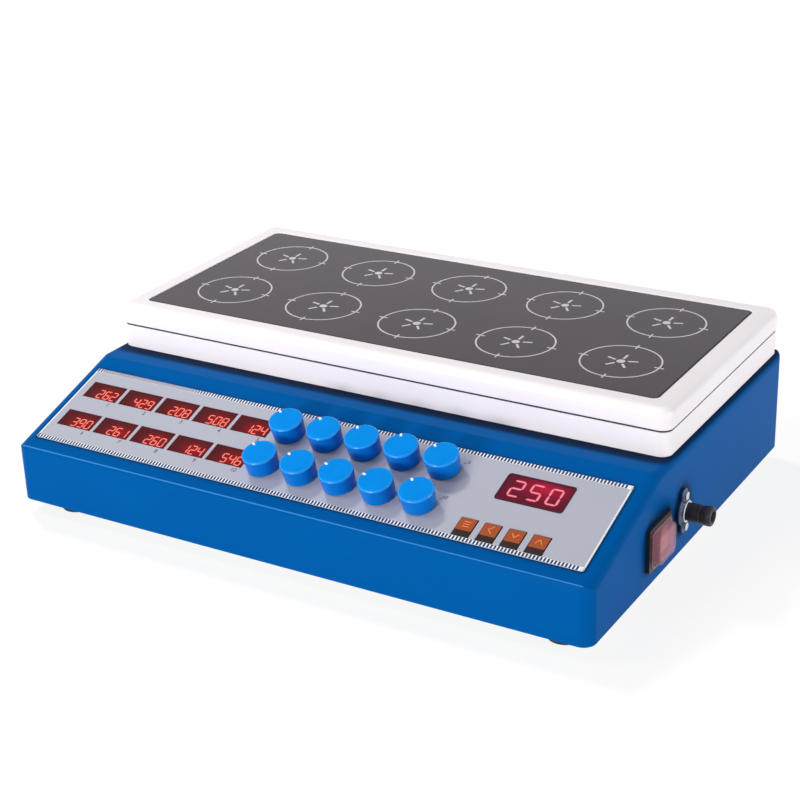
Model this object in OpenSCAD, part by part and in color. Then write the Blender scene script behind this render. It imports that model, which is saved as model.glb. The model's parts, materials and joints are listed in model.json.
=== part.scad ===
// Multi-position hotplate stirrer: one heated glass top with ten stirring places in two rows of five.
// Millimetres. X to the right, Y to the back, Z up. The origin is on the bench under the housing's middle.

/* [Housing] */
// Width of the sheet housing
body_w = 460; // [456:1:520]
// Depth of the sheet housing
body_d = 336; // [330:1:380]
// Height of the upright front wall
front_h = 43; // [40:1:56]
// Height of the flat rear part
rear_h = 76; // [72:1:90]
// Level run of the sloping control panel
slope_run = 102; // [100:1:110]
// Radius of the upright corners
corner_r = 9; // [5:0.5:12]
// Radius of the front fold
fold_r = 3; // [2.5:0.5:7]
// Radius of the long side edges along the sloping panel
edge_r = 8; // [5:0.5:8.5]
// Thickness of the sheet
sheet = 1.5; // [1:0.1:2]
// Width of the lip that the base plate is screwed to
lip_w = 18; // [15:1:22]
// Length of a ventilation slot in the back wall
vent_len = 24; // [16:1:30]

/* [Feet and base] */
// Height of the rubber feet
foot_h = 12; // [6:0.5:16]
// Radius of the rubber feet
foot_r = 13; // [10:0.5:14]
// Distance of a foot's axis from the side of the housing
foot_in_x = 30; // [30:1:50]
// Distance of a foot's axis from the front or back of the housing
foot_in_y = 27; // [14:1:50]

/* [Hot plate] */
// Width of the lower tray
tray_w = 452; // [448:1:460]
// Depth of the lower tray
tray_d = 208; // [204:1:216]
// Gap from the tray to the back of the housing
tray_back = 2; // [2:1:14]
// Height of the lower tray
lower_h = 17.5; // [17.5:0.5:26]
// Height of the upper frame
upper_h = 15.5; // [14:0.5:20]
// Height of the dark seam between tray and frame
seam_h = 1.4; // [0.5:0.1:1.5]
// How far the frame stands out past the tray
frame_over = 0.5; // [0.5:0.1:3]
// Radius of the frame's top edges
frame_edge_r = 6; // [3:0.5:7]
// Wall thickness of the tray
tray_wall = 4; // [3.5:0.1:5]
// Floor thickness of the tray
tray_floor = 2; // [1.5:0.1:3]
// Width of the glass
glass_w = 420; // [416:1:422]
// Depth of the glass
glass_d = 176; // [172:1:178]
// Thickness of the glass
glass_t = 4; // [3:0.5:5]
// Width of the sealing bead around the glass
bead_w = 1.5; // [1:0.1:2]
// Thickness of the heater plate
heater_t = 3; // [2:0.5:4]
// Thickness of the insulation board
insulation_t = 8; // [6:0.5:9]

/* [Stirring places] */
// Distance between stirring places, left to right
place_pitch_x = 81.6; // [78:0.1:82]
// Distance between the two rows of stirring places
place_pitch_y = 80.5; // [76:0.1:84]
// Length of a magnet carrier
carrier_len = 46; // [40:1:56]
// Height of a stirring magnet
magnet_h = 7.5; // [6:0.5:8]
// Radius of a motor shaft
motor_shaft_r = 2; // [1.5:0.1:2.5]
// Radius of a stirring motor
motor_r = 14; // [12:0.5:16]
// Length of a stirring motor
motor_len = 30; // [24:1:34]

/* [Control panel] */
// Width of the printed overlay
overlay_w = 439; // [436:1:442]
// Height of the printed overlay along the slope
overlay_h = 80; // [79:0.5:82]
// Thickness of the overlay
overlay_t = 0.5; // [0.3:0.1:1]
// Distance of the overlay from the front fold
overlay_s = 12; // [11:0.5:13]
// Width of a small display window
window_w = 30.5; // [28:0.1:32]
// Height of a small display window
window_h = 16.7; // [14:0.1:18]
// Distance between the small display windows
window_pitch = 33.5; // [33:0.1:34]
// Width of the temperature display window
temp_w = 48.2; // [44:0.1:52]
// Height of the temperature display window
temp_h = 24; // [20:0.1:26]
// Radius of a speed knob at its top
knob_r = 12.3; // [11:0.1:13.5]
// Radius of a speed knob at its foot
knob_base_r = 11.4; // [10.5:0.1:13.5]
// Height of a knob's top above the housing
knob_top = 14.5; // [13.5:0.1:18]
// Distance between the knobs
knob_pitch = 31; // [30:0.1:32]
// Radius of a potentiometer shaft
pot_shaft_r = 3; // [2.5:0.1:3]
// Width of a key
key_w = 12.3; // [11:0.1:13]
// Height of a key along the slope
key_h = 16.2; // [14:0.1:18]
// Distance between the keys
key_pitch = 17.4; // [17:0.1:18]
// Travel of a key
key_travel = 0.5; // [0.3:0.1:0.6]

/* [Side fittings] */
// Distance of the switch from the front of the housing
switch_y = 103; // [98:1:110]
// Height of the switch above the housing's bottom
switch_z = 27; // [24:1:30]
// Length of the switch bezel, front to back
bezel_len = 36; // [35:0.5:38]
// Height of the switch bezel
bezel_h = 32; // [31:0.5:34]
// Angle through which the rocker moves
rocker_swing = 20; // [12:1:22]
// Distance of the sensor socket from the front of the housing
socket_y = 144; // [138:1:156]
// Height of the sensor socket above the housing's bottom
socket_z = 31; // [28:1:36]
// Radius of the coupling ring
ring_r = 6.6; // [6.4:0.1:8]
// Length of the sensor plug outside the coupling ring
plug_len = 7; // [5:0.5:12]

/* [Mains inlet] */
// Distance of the inlet from the housing's middle
inlet_x = 150; // [60:1:170]
// Height of the inlet above the housing's bottom
inlet_z = 32; // [28:1:38]

/* [Hidden] */
$fn = 64;
// Clearance between pieces that are fixed side by side
fit = 0.15;
// Radial clearance of a shaft that turns in its bore
run_fit = 0.05;
// Clearance between a moving piece and the pieces around it
free_fit = 0.3;
// Overshoot of a cut past the face that it opens
cut = 1;

columns = 5;
rows = 2;
places = columns * rows;

slope_a = atan((rear_h - front_h) / slope_run);
z_top = foot_h + rear_h;
top_edge_r = edge_r - 2;
tray_y = body_d / 2 - tray_back - tray_d / 2;
frame_w = tray_w + 2 * frame_over;
frame_d = tray_d + 2 * frame_over;
tray_corner_r = 8;
frame_corner_r = tray_corner_r + frame_over;
hollow_w = tray_w - 2 * tray_wall;
hollow_d = tray_d - 2 * tray_wall;
hollow_r = tray_corner_r - tray_wall;

// Glass and the layers below it
glass_drop = 0.5;
glass_corner_r = 3;
ledge_w = 6;
ledge_t = 3.5;
recess_w = glass_w + 2 * bead_w;
recess_d = glass_d + 2 * bead_w;
opening_w = recess_w - 2 * ledge_w;
opening_d = recess_d - 2 * ledge_w;
heater_w = opening_w - 3;
heater_d = opening_d - 3;
z_seam = z_top + lower_h;
z_frame = z_seam + seam_h;
z_frame_top = z_frame + upper_h;
z_glass_top = z_frame_top - glass_drop;
z_ledge = z_glass_top - glass_t;
z_heater = z_ledge - heater_t;
z_insulation = z_heater - insulation_t;
z_floor = z_top + tray_floor;

// Rotors and motors
magnet_gap = 2;
magnet_w = 10;
glue = 0.1;
carrier_t = 3;
carrier_w = 12;
hub_r = 5;
z_magnet = z_insulation - magnet_gap - magnet_h;
z_carrier = z_magnet - glue - carrier_t;
plate_gap = 12;
plate_t = 2;
z_plate = z_top - sheet - plate_gap - plate_t;
plate_margin = 24;
plate_w = (columns - 1) * place_pitch_x + 2 * plate_margin;
plate_d = place_pitch_y + 2 * plate_margin;
shaft_hole_r = motor_shaft_r + 4;
motor_boss_r = 5;
motor_screw_x = 9;
shaft_depth = 18;

// Screws
m3_r = 1.5;
m3_head_r = 2.8;
m3_head_h = 1.8;
m4_r = 2;
m4_head_r = 3.6;
m4_head_h = 2.4;
standoff_af = 6;
foot_screw_len = 9;
tray_screw_reach = 8;
tray_bore_depth = 10;
// The end screws stand clear of the tray's wall and of the housing's, whichever is further in
tray_screw_in = 17;
tray_screw_end = min(body_w / 2 - sheet, tray_w / 2 - tray_wall) - tray_screw_in;

// Panel, with u across from the middle and s up the slope from the front fold
row_s = [69.6, 34.2];
window_s = [69.3, 36.9];
window_u = -197.3;
knob_u = -32.5;
key_u = 156.5;
key_s = 24.2;
temp_u = 160.5;
temp_s = 67;
strip_s = 51.5;
post_in = 22;
standoff_u = [-1, -0.53, 0.04, 0.53, 1] * (body_w / 2 - sheet - post_in);
module_depth = 8;
board_t = 1.6;
board_in = 15.5;
board_w = body_w - 2 * (sheet + board_in);
board_d = 76;
header_w = 20;
header_d = 7;
header_h = 3;
lens_drop = 0.1;
key_rise = 0.5;
key_flange = 1;
key_flange_t = 0.8;
key_stem = 0.6;
bush_r = pot_shaft_r + 0.6;
bush_top = 6;
pot_r = 8;
nut_af = 10.5;
nut_t = 2;
knob_gap = 0.6;
knob_edge_r = 1.5;
knob_cup_r = 8.4;
knob_cup_h = 7.4;
knob_roof = 2;

// Switch
bezel_t = 2.2;
switch_len = 30;
switch_h = 26;
switch_depth = 24;
rocker_len = 23;
rocker_w = 18;
rocker_rise = 4.4;
rocker_dip = 1.8;
pivot_r = 1.5;
pivot_x = -1;
boot_base = [29, 25];
boot_face = [26.6, 22.4];
boot_rise = 5.8;
boot_wall = 0.8;
boot_rim_t = 1;

// Sensor socket and plug, along X from the housing's side
flange_t = 2;
flange_r = 10.4;
collar_t = 2.6;
collar_r = ring_r + 1;
lobe_r = 5;
socket_screw_z = 11.6;
barrel_r = ring_r - 1.5;
barrel_len = 11;
barrel_back = 12;
barrel_bore_r = barrel_r - 1.3;
barrel_floor = -3;
ring_start = flange_t + collar_t + free_fit;
ring_end = barrel_len + 3.8;
ring_lip = 1.6;
shoulder_t = 1;
plug_gap = 0.4;
plug_r = ring_r + 0.3;
neck_r = barrel_bore_r + 0.2;

// Mains inlet, along Y from the housing's back
inlet_flange = [50, 24, 3];
inlet_body = [28, 20];
inlet_mouth = [24.2, 16.2];
inlet_depth = 16;
inlet_back = 18;
inlet_screw_x = 20;
pin_size = [2, 10, 4];
pin_spread = 7;

// Power board on the base plate
power_w = 150;
power_d = 74;
power_x = -50;
power_in = 118;
power_y = -body_d / 2 + power_in;
power_gap = 8;
z_base = foot_h + sheet;
z_power = z_base + power_gap;
power_inset = 6;
capacitor_r = 8;
capacitor_h = 22;
terminal_w = 44;
terminal_d = 12;
terminal_h = 12;
core_w = 48;
core_d = 30;
core_h = 34;
coil_w = 32;
coil_d = 46;
coil_rise = 4;
coil_h = 24;

// Places, counted from the left, the back row first
function place_x(k) = ((k - 1) % columns - (columns - 1) / 2) * place_pitch_x;
function place_y(k) = tray_y + (k <= columns ? 0.5 : -0.5) * place_pitch_y;
function between_x(i) = (i - columns / 2) * place_pitch_x;
function tray_screw_x(i) = i == 0 ? -tray_screw_end : i == columns ? tray_screw_end : between_x(i);
function panel_u(k, start, pitch) = start + ((k - 1) % columns) * pitch;
function panel_row(k, s) = k <= columns ? s[0] : s[1];
function key_at(k) = key_u + (k - 2.5) * key_pitch;

// Screws that close the base plate, along the lip
base_screw_x = body_w / 2 - sheet - lip_w / 2;
base_screw_y = body_d / 2 - sheet - lip_w / 2;
base_screw_at = concat(
    [for (x = [-1, 1], y = [-0.5, 0.5]) [x * base_screw_x, y * base_screw_y]],
    [for (x = [-0.6, 0, 0.6], y = [-1, 1]) [x * base_screw_x, y * base_screw_y]]
);
foot_at = [for (x = [-1, 1], y = [-1, 1]) [x * (body_w / 2 - foot_in_x), y * (body_d / 2 - foot_in_y)]];
power_posts = [for (x = [-1, 1], y = [-1, 1])
    [power_x + x * (power_w / 2 - power_inset), power_y + y * (power_d / 2 - power_inset)]];

// Puts its children on the slope: u to the right, s up the slope, n out of the panel
module on_panel(u = 0, s = 0, n = 0) {
    translate([0, -body_d / 2, foot_h + front_h])
        rotate([slope_a, 0, 0])
            translate([u, s, n])
                children();
}

// Puts its children on the right side, with X out of the housing
module on_side(y, z) {
    translate([body_w / 2, y - body_d / 2, foot_h + z]) children();
}

// Puts its children on the back, with Y out of the housing
module on_back(x, z) {
    translate([x, body_d / 2, foot_h + z]) children();
}

module rod_x(r, from, to) {
    translate([from, 0, 0]) rotate([0, 90, 0]) cylinder(r = r, h = to - from);
}

module rod_z(r, from, to) {
    translate([0, 0, from]) cylinder(r = r, h = to - from);
}

module block(w, d, from, to) {
    translate([-w / 2, -d / 2, from]) cube([w, d, to - from]);
}

module rounded_2d(w, d, r) {
    square([w - 2 * r, d], center = true);
    square([w, d - 2 * r], center = true);
    for (x = [-1, 1], y = [-1, 1])
        translate([x * (w / 2 - r), y * (d / 2 - r)]) circle(r);
}

module plate(w, d, r, from, to) {
    translate([0, 0, from]) linear_extrude(to - from) rounded_2d(w, d, r);
}

// Rectangle from the base line up to h, with both top corners rounded
module arch_2d(w, h, r, below) {
    translate([-w / 2, -below]) square([w, h - r + below]);
    translate([-w / 2 + r, -below]) square([w - 2 * r, h + below]);
    for (x = [-1, 1]) translate([x * (w / 2 - r), h - r]) circle(r);
}

// Block with rounded upright corners and rounded top edges
module soft_block(w, d, h, r, edge_r) {
    intersection() {
        plate(w, d, r, 0, h + cut);
        rotate([90, 0, 0]) linear_extrude(d + 2 * cut, center = true) arch_2d(w, h, edge_r, 0);
        rotate([90, 0, 90]) linear_extrude(w + 2 * cut, center = true) arch_2d(d, h, edge_r, 0);
    }
}

module slot_hole(w, len, depth) {
    cube([w, depth, len - w], center = true);
    for (z = [-1, 1])
        translate([0, 0, z * (len - w) / 2]) rotate([90, 0, 0]) cylinder(r = w / 2, h = depth, center = true);
}

// Screw with its head above z = 0 and its shank below
module screw(r, head_r, head_h, len) {
    rod_z(head_r, 0, head_h);
    rod_z(r, -len, head_h / 2);
}

// What the front fold's radius takes off the sharp edge, in side view
module fold_waste(inset) {
    r = fold_r - inset;
    reach = r * tan((90 - slope_a) / 2);
    corner = [-body_d / 2 + inset, front_h + inset * tan(slope_a) - inset / cos(slope_a)];
    centre = corner + [r, -reach];
    on_slope = corner + reach * [cos(slope_a), sin(slope_a)];
    outward = cut * [-sin(slope_a), cos(slope_a)];
    difference() {
        polygon([corner - [cut, reach], centre, on_slope, on_slope + outward, corner + [-cut, cut]]);
        translate(centre) circle(r);
    }
}

// Housing block, inset by one thickness: upright corners, rounded long edges, rounded front fold
module case_block(inset, floor_z) {
    w = body_w - 2 * inset;
    d = body_d - 2 * inset;
    difference() {
        intersection() {
            plate(w, d, corner_r - inset, floor_z, rear_h + cut);
            rotate([90, 0, 0])
                linear_extrude(d + 2 * cut, center = true)
                    arch_2d(w, rear_h - inset, top_edge_r - inset, -floor_z);
            translate([0, -body_d / 2, front_h])
                rotate([slope_a, 0, 0])
                    translate([0, 0, -inset])
                        rotate([90, 0, 0])
                            linear_extrude(4 * body_d, center = true)
                                arch_2d(w, 0, edge_r - inset, 2 * body_d);
        }
        rotate([90, 0, 90]) linear_extrude(body_w + 2 * cut, center = true) fold_waste(inset);
    }
}

// Openings that the display windows, keys and shafts need in the panel
module panel_openings(n, depth) {
    for (k = [1 : places]) {
        on_panel(panel_u(k, window_u, window_pitch), panel_row(k, window_s), n)
            block(window_w + 2 * fit, window_h + 2 * fit, 0, depth);
        on_panel(panel_u(k, knob_u, knob_pitch), panel_row(k, row_s), n) rod_z(bush_r + fit, 0, depth);
    }
    on_panel(temp_u, temp_s, n) block(temp_w + 2 * fit, temp_h + 2 * fit, 0, depth);
    for (k = [1 : 4])
        on_panel(key_at(k), key_s, n) block(key_w + 2 * free_fit, key_h + 2 * free_fit, 0, depth);
}

module housing_shell() {
    vents = 9;
    vent_pitch = 9;
    color("#0a5ea8") {
        difference() {
            translate([0, 0, foot_h]) case_block(0, 0);
            translate([0, 0, foot_h]) case_block(sheet, -cut);
            panel_openings(-sheet - cut, sheet + 2 * cut);
            on_side(switch_y, switch_z)
                cube([4 * sheet, switch_len + 2 * fit, switch_h + 2 * fit], center = true);
            on_side(socket_y, socket_z) {
                rod_x(barrel_r + fit, -2 * sheet, cut);
                for (z = [-1, 1])
                    translate([0, 0, z * socket_screw_z]) rod_x(m3_r + run_fit, -2 * sheet, cut);
            }
            on_back(inlet_x, inlet_z) {
                cube([inlet_body[0] + 2 * fit, 4 * sheet, inlet_body[1] + 2 * fit], center = true);
                for (x = [-1, 1])
                    translate([x * inlet_screw_x, 0, 0])
                        rotate([90, 0, 0]) cylinder(r = m3_r + run_fit, h = 4 * sheet, center = true);
            }
            for (side = [-1, 0], i = [0 : vents - 1])
                on_back(side * 130 + (i - vents / 2) * vent_pitch, rear_h / 2)
                    slot_hole(3, vent_len, 4 * sheet);
            for (k = [1 : places])
                translate([place_x(k), place_y(k), z_top]) rod_z(shaft_hole_r, -2 * sheet, cut);
            for (i = [0 : columns])
                translate([tray_screw_x(i), tray_y, z_top]) rod_z(m4_r + fit, -2 * sheet, cut);
        }
        difference() {
            plate(body_w - sheet, body_d - sheet, corner_r - sheet / 2, z_base, z_base + sheet);
            plate(body_w - 2 * (sheet + lip_w), body_d - 2 * (sheet + lip_w), 2, foot_h, z_base + 2 * sheet);
            for (p = base_screw_at) translate(p) rod_z(m3_r + run_fit, foot_h, z_base + 2 * sheet);
            for (p = foot_at) translate(p) rod_z(m4_r + fit, foot_h, z_base + 2 * sheet);
        }
    }
}

module base_plate() {
    vents = 12;
    vent_pitch = 12;
    inset = sheet + fit;
    color("#8f979c") difference() {
        plate(body_w - 2 * inset, body_d - 2 * inset, corner_r - inset, foot_h, z_base);
        for (p = base_screw_at) translate(p) rod_z(m3_r + fit, foot_h - cut, z_base + cut);
        for (p = foot_at) translate(p) rod_z(m4_r + run_fit, foot_h - cut, z_base + cut);
        for (i = [0 : vents - 1])
            translate([(i - (vents - 1) / 2) * vent_pitch, body_d / 4, foot_h])
                rotate([90, 0, 0]) slot_hole(4, 50, 4 * sheet);
        for (p = power_posts) translate(p) rod_z(m3_r + fit, foot_h - cut, z_base + cut);
    }
}

module case_screws() {
    base_len = 7;
    panel_len = 8;
    color("#c9ccd0") {
        for (p = concat(base_screw_at, power_posts))
            translate([p[0], p[1], foot_h]) rotate([180, 0, 0]) screw(m3_r, m3_head_r, m3_head_h, base_len);
        on_side(socket_y, socket_z)
            for (z = [-1, 1])
                translate([flange_t, 0, z * socket_screw_z])
                    rotate([0, 90, 0]) screw(m3_r, m3_head_r, m3_head_h, panel_len);
        on_back(inlet_x, inlet_z)
            for (x = [-1, 1])
                translate([x * inlet_screw_x, inlet_flange[2], 0])
                    rotate([-90, 0, 0]) screw(m3_r, m3_head_r, m3_head_h, panel_len);
    }
}

module rubber_feet() {
    well_h = foot_h - 3;
    color("#24262a") for (p = foot_at) translate(p) difference() {
        cylinder(r1 = foot_r - 1, r2 = foot_r, h = foot_h);
        rod_z(m4_head_r + 1, -cut, well_h);
        rod_z(m4_r + fit, 0, foot_h + cut);
    }
}

module foot_screws() {
    well_h = foot_h - 3;
    color("#c9ccd0") for (p = foot_at)
        translate([p[0], p[1], well_h]) rotate([180, 0, 0]) screw(m4_r, m4_head_r, m4_head_h, foot_screw_len);
}

module hex_post(from, to, bore_r = 0) {
    difference() {
        translate([0, 0, from]) cylinder(r = standoff_af / sqrt(3), h = to - from, $fn = 6);
        if (bore_r > 0) rod_z(bore_r, from - cut, to + cut);
    }
}

module hex_standoffs() {
    color("#c8a45a") {
        for (y = [-0.5, 0.5], i = [1 : columns - 1])
            translate([between_x(i), tray_y + y * place_pitch_y, 0])
                hex_post(z_plate + plate_t, z_top - sheet);
        for (u = standoff_u) on_panel(u, strip_s) hex_post(-sheet - module_depth, -sheet);
        for (p = power_posts) translate(p) hex_post(z_base, z_power, m3_r + run_fit);
    }
}

module panel_overlay() {
    color("#bdbdcc") difference() {
        on_panel(0, overlay_s + overlay_h / 2) plate(overlay_w, overlay_h, 2, 0, overlay_t);
        panel_openings(-cut, overlay_t + 2 * cut);
    }
}

module display_windows() {
    color("#5a0f19") for (k = [1 : places])
        on_panel(panel_u(k, window_u, window_pitch), panel_row(k, window_s))
            block(window_w, window_h, -sheet, overlay_t - lens_drop);
}

module temperature_window() {
    color("#78142d") on_panel(temp_u, temp_s) block(temp_w, temp_h, -sheet, overlay_t - lens_drop);
}

module display_modules() {
    inset = 1;
    color("#1a1a1c") {
        for (k = [1 : places])
            on_panel(panel_u(k, window_u, window_pitch), panel_row(k, window_s))
                block(window_w - inset, window_h - inset, -sheet - module_depth, -sheet);
        on_panel(temp_u, temp_s) block(temp_w - inset, temp_h - inset, -sheet - module_depth, -sheet);
    }
}

module control_board() {
    top = -sheet - module_depth;
    switch_top = -sheet - free_fit - key_flange_t - key_stem - key_travel - free_fit;
    color("#1f6b45") {
        on_panel(0, overlay_s + overlay_h / 2) block(board_w, board_d, top - board_t, top);
        for (k = [1 : 4]) on_panel(key_at(k), key_s) {
            block(6, 6, top + glue, switch_top - 1);
            rod_z(1.7, switch_top - 2, switch_top);
        }
        for (u = [-0.3, 0.1])
            on_panel(u * board_w, strip_s) block(header_w, header_d, top + glue, top + header_h);
    }
}

module potentiometers() {
    color("#8e9398") for (k = [1 : places])
        on_panel(panel_u(k, knob_u, knob_pitch), panel_row(k, row_s)) difference() {
            union() {
                rod_z(pot_r, -sheet - module_depth, -sheet);
                rod_z(bush_r, -sheet - cut, bush_top);
            }
            rod_z(pot_shaft_r + run_fit, -sheet - module_depth + 1, bush_top + cut);
        }
}

module potentiometer_nuts() {
    color("#d5d7da") for (k = [1 : places])
        on_panel(panel_u(k, knob_u, knob_pitch), panel_row(k, row_s), overlay_t) difference() {
            cylinder(r = nut_af / sqrt(3), h = nut_t, $fn = 6);
            rod_z(bush_r + run_fit, -cut, nut_t + cut);
        }
}

module knob(k) {
    bottom = overlay_t + knob_gap;
    height = knob_top - bottom;
    bore_top = height - knob_roof;
    on_panel(panel_u(k, knob_u, knob_pitch), panel_row(k, row_s)) {
        color("#0a86e0") translate([0, 0, bottom]) difference() {
            rotate_extrude() {
                polygon([
                    [0, 0],
                    [knob_base_r, 0],
                    [knob_r, height - knob_edge_r],
                    [knob_r - knob_edge_r, height],
                    [0, height]
                ]);
                translate([knob_r - knob_edge_r, height - knob_edge_r]) circle(knob_edge_r);
            }
            rod_z(knob_cup_r, -cut, knob_cup_h);
            rod_z(pot_shaft_r + run_fit, 0, bore_top);
        }
        color("#c9ccd0") rod_z(pot_shaft_r, -sheet - module_depth + 2, bottom + bore_top - fit);
    }
}

module key(k) {
    top = overlay_t + key_rise;
    under = -sheet - free_fit;
    color("#cd6937") on_panel(key_at(k), key_s) {
        plate(key_w, key_h, 1.2, under - key_flange_t, top);
        block(key_w + 2 * key_flange, key_h + 2 * key_flange, under - key_flange_t, under);
        rod_z(2, under - key_flange_t - key_stem, under);
    }
}

module motor_plate() {
    color("#b4b9bd") difference() {
        translate([0, tray_y, 0]) plate(plate_w, plate_d, 4, z_plate, z_plate + plate_t);
        for (k = [1 : places]) translate([place_x(k), place_y(k), z_plate]) {
            rod_z(motor_boss_r + fit, -cut, plate_t + cut);
            for (x = [-1, 1]) translate([x * motor_screw_x, 0, 0]) rod_z(m3_r + fit, -cut, plate_t + cut);
        }
    }
}

module stir_motors() {
    color("#9aa0a6") for (k = [1 : places]) translate([place_x(k), place_y(k), z_plate]) difference() {
        union() {
            rod_z(motor_r, -motor_len, 0);
            rod_z(motor_boss_r, -cut, plate_t);
        }
        rod_z(motor_shaft_r + run_fit, -shaft_depth - cut, plate_t + cut);
        for (x = [-1, 1]) translate([x * motor_screw_x, 0, 0]) rod_z(m3_r + run_fit, -6, cut);
    }
}

module motor_screws() {
    color("#c9ccd0") for (k = [1 : places], x = [-1, 1])
        translate([place_x(k) + x * motor_screw_x, place_y(k), z_plate + plate_t])
            screw(m3_r, m3_head_r, m3_head_h, plate_t + 5);
}

module rotor(k) {
    magnet_x = (carrier_len - magnet_w) / 2 - 1;
    translate([place_x(k), place_y(k), 0]) {
        color("#b7bcc2") difference() {
            union() {
                plate(carrier_len, carrier_w, 3, z_carrier, z_carrier + carrier_t);
                rod_z(hub_r, z_carrier, z_carrier + carrier_t + 2);
            }
            rod_z(motor_shaft_r + run_fit, z_carrier - cut, z_carrier + carrier_t + 2 + cut);
        }
        color("#c9ccd0") rod_z(motor_shaft_r, z_plate - shaft_depth, z_carrier + carrier_t + 2);
        color("#55585c") for (x = [-1, 1])
            translate([x * magnet_x, 0, 0]) block(magnet_w, magnet_w, z_magnet, z_magnet + magnet_h);
    }
}

module lower_tray() {
    pillar_r = 5;
    color("#efeaec") difference() {
        union() {
            difference() {
                translate([0, tray_y, 0]) plate(tray_w, tray_d, tray_corner_r, z_top, z_seam);
                translate([0, tray_y, 0]) plate(hollow_w, hollow_d, hollow_r, z_floor, z_seam + cut);
            }
            for (i = [0 : columns])
                translate([tray_screw_x(i), tray_y, 0]) rod_z(pillar_r, z_top, z_insulation);
        }
        for (i = [0 : columns])
            translate([tray_screw_x(i), tray_y, 0])
                rod_z(m4_r + run_fit, z_top - cut, z_floor + tray_bore_depth);
        for (k = [1 : places])
            translate([place_x(k), place_y(k), 0]) rod_z(shaft_hole_r, z_top - cut, z_floor + cut);
    }
}

module tray_screws() {
    color("#c9ccd0") for (i = [0 : columns])
        translate([tray_screw_x(i), tray_y, z_top - sheet])
            rotate([180, 0, 0]) screw(m4_r, m4_head_r, m4_head_h, sheet + tray_floor + tray_screw_reach);
}

module tray_gasket() {
    set_back = 0.5;
    outer_w = tray_w - 2 * set_back;
    outer_d = tray_d - 2 * set_back;
    color("#2a2a2d") translate([0, tray_y, 0]) difference() {
        plate(outer_w, outer_d, tray_corner_r - set_back, z_seam, z_frame);
        plate(hollow_w, hollow_d, hollow_r, z_seam - cut, z_frame + cut);
    }
}

module upper_frame() {
    color("#f1ecee") difference() {
        translate([0, tray_y, z_frame]) soft_block(frame_w, frame_d, upper_h, frame_corner_r, frame_edge_r);
        translate([0, tray_y, 0])
            plate(recess_w, recess_d, glass_corner_r + bead_w, z_ledge, z_frame_top + cut);
        translate([0, tray_y, 0]) plate(opening_w, opening_d, 3, z_frame - cut, z_frame_top + cut);
        translate([0, tray_y, 0]) plate(hollow_w, hollow_d, hollow_r, z_frame - cut, z_ledge - ledge_t);
    }
}

module glass_plate() {
    color("#4a454d") translate([0, tray_y, 0]) plate(glass_w, glass_d, glass_corner_r, z_ledge, z_glass_top);
}

module glass_bead() {
    bead_top = z_glass_top - 0.3;
    color("#232326") translate([0, tray_y, 0]) difference() {
        plate(recess_w - 2 * fit, recess_d - 2 * fit, glass_corner_r + bead_w - fit, z_ledge, bead_top);
        plate(glass_w + 2 * fit, glass_d + 2 * fit, glass_corner_r + fit, z_ledge - cut, z_glass_top + cut);
    }
}

module heater_plate() {
    color("#a9adb1") translate([0, tray_y, 0]) plate(heater_w, heater_d, 3, z_heater, z_ledge);
}

// The sensor lies in a groove in the top of the insulation board
sensor_r = 2.2;
sensor_len = 30;

module insulation_board() {
    groove = 2 * (sensor_r + fit);
    color("#d9d2c3") translate([0, tray_y, 0]) difference() {
        plate(heater_w, heater_d, 3, z_insulation, z_heater);
        block(sensor_len + 2 * fit, groove, z_heater - groove, z_heater + cut);
    }
}

module temperature_sensor() {
    color("#c9ccd0") translate([0, tray_y, z_heater - sensor_r - fit])
        rod_x(sensor_r, -sensor_len / 2, sensor_len / 2);
}

module switch_body() {
    pocket_len = rocker_len + 3;
    pocket_h = rocker_w + 3;
    pocket_depth = 9;
    color("#18181a") on_side(switch_y, switch_z) difference() {
        union() {
            rotate([90, 0, 90]) plate(bezel_len, bezel_h, 2, 0, bezel_t);
            translate([-switch_depth, -switch_len / 2, -switch_h / 2])
                cube([switch_depth + cut, switch_len, switch_h]);
        }
        translate([-pocket_depth, -pocket_len / 2, -pocket_h / 2])
            cube([pocket_depth + bezel_t + cut, pocket_len, pocket_h]);
        translate([pivot_x, 0, 0]) cylinder(r = pivot_r + run_fit, h = rocker_w + 5, center = true);
    }
}

// Rocker, seen from above: two shallow wings on a vertical pivot, with the front wing standing out
module switch_rocker() {
    half = rocker_len / 2;
    keel = 4;
    keel_x = -5;
    wing_x = 1;
    pin_len = rocker_w + 4.6;
    color("#c0141e") on_side(switch_y, switch_z) translate([pivot_x, 0, 0]) rotate([0, 0, rocker_swing / 2]) {
        linear_extrude(rocker_w, center = true) polygon([
            [rocker_rise - pivot_x, -half],
            [rocker_rise - rocker_dip - pivot_x, 0],
            [rocker_rise - pivot_x, half],
            [wing_x, half],
            [keel_x, keel],
            [keel_x, -keel],
            [wing_x, -half]
        ]);
        cylinder(r = pivot_r, h = pin_len, center = true);
    }
}

// Four-sided dome that narrows outwards along X
module dome(base, face, from, to) {
    ends = [[from, base / 2], [to, face / 2]];
    corners = [[-1, -1], [1, -1], [1, 1], [-1, 1]];
    polyhedron(
        points = [for (e = ends, c = corners) [e[0], c[0] * e[1][0], c[1] * e[1][1]]],
        faces = [[0, 1, 2, 3], [7, 6, 5, 4], [0, 4, 5, 1], [1, 5, 6, 2], [2, 6, 7, 3], [3, 7, 4, 0]]
    );
}

module switch_boot() {
    rim = 1.5;
    face_x = bezel_t + boot_rise;
    wall = [2 * boot_wall, 2 * boot_wall];
    color("#e6dfe6") on_side(switch_y, switch_z) difference() {
        union() {
            translate([bezel_t, -boot_base[0] / 2 - rim, -boot_base[1] / 2 - rim])
                cube([boot_rim_t, boot_base[0] + 2 * rim, boot_base[1] + 2 * rim]);
            dome(boot_base, boot_face, bezel_t, face_x);
        }
        dome(boot_base - wall, boot_face - wall, bezel_t - 0.01, face_x - boot_wall);
    }
}

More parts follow.
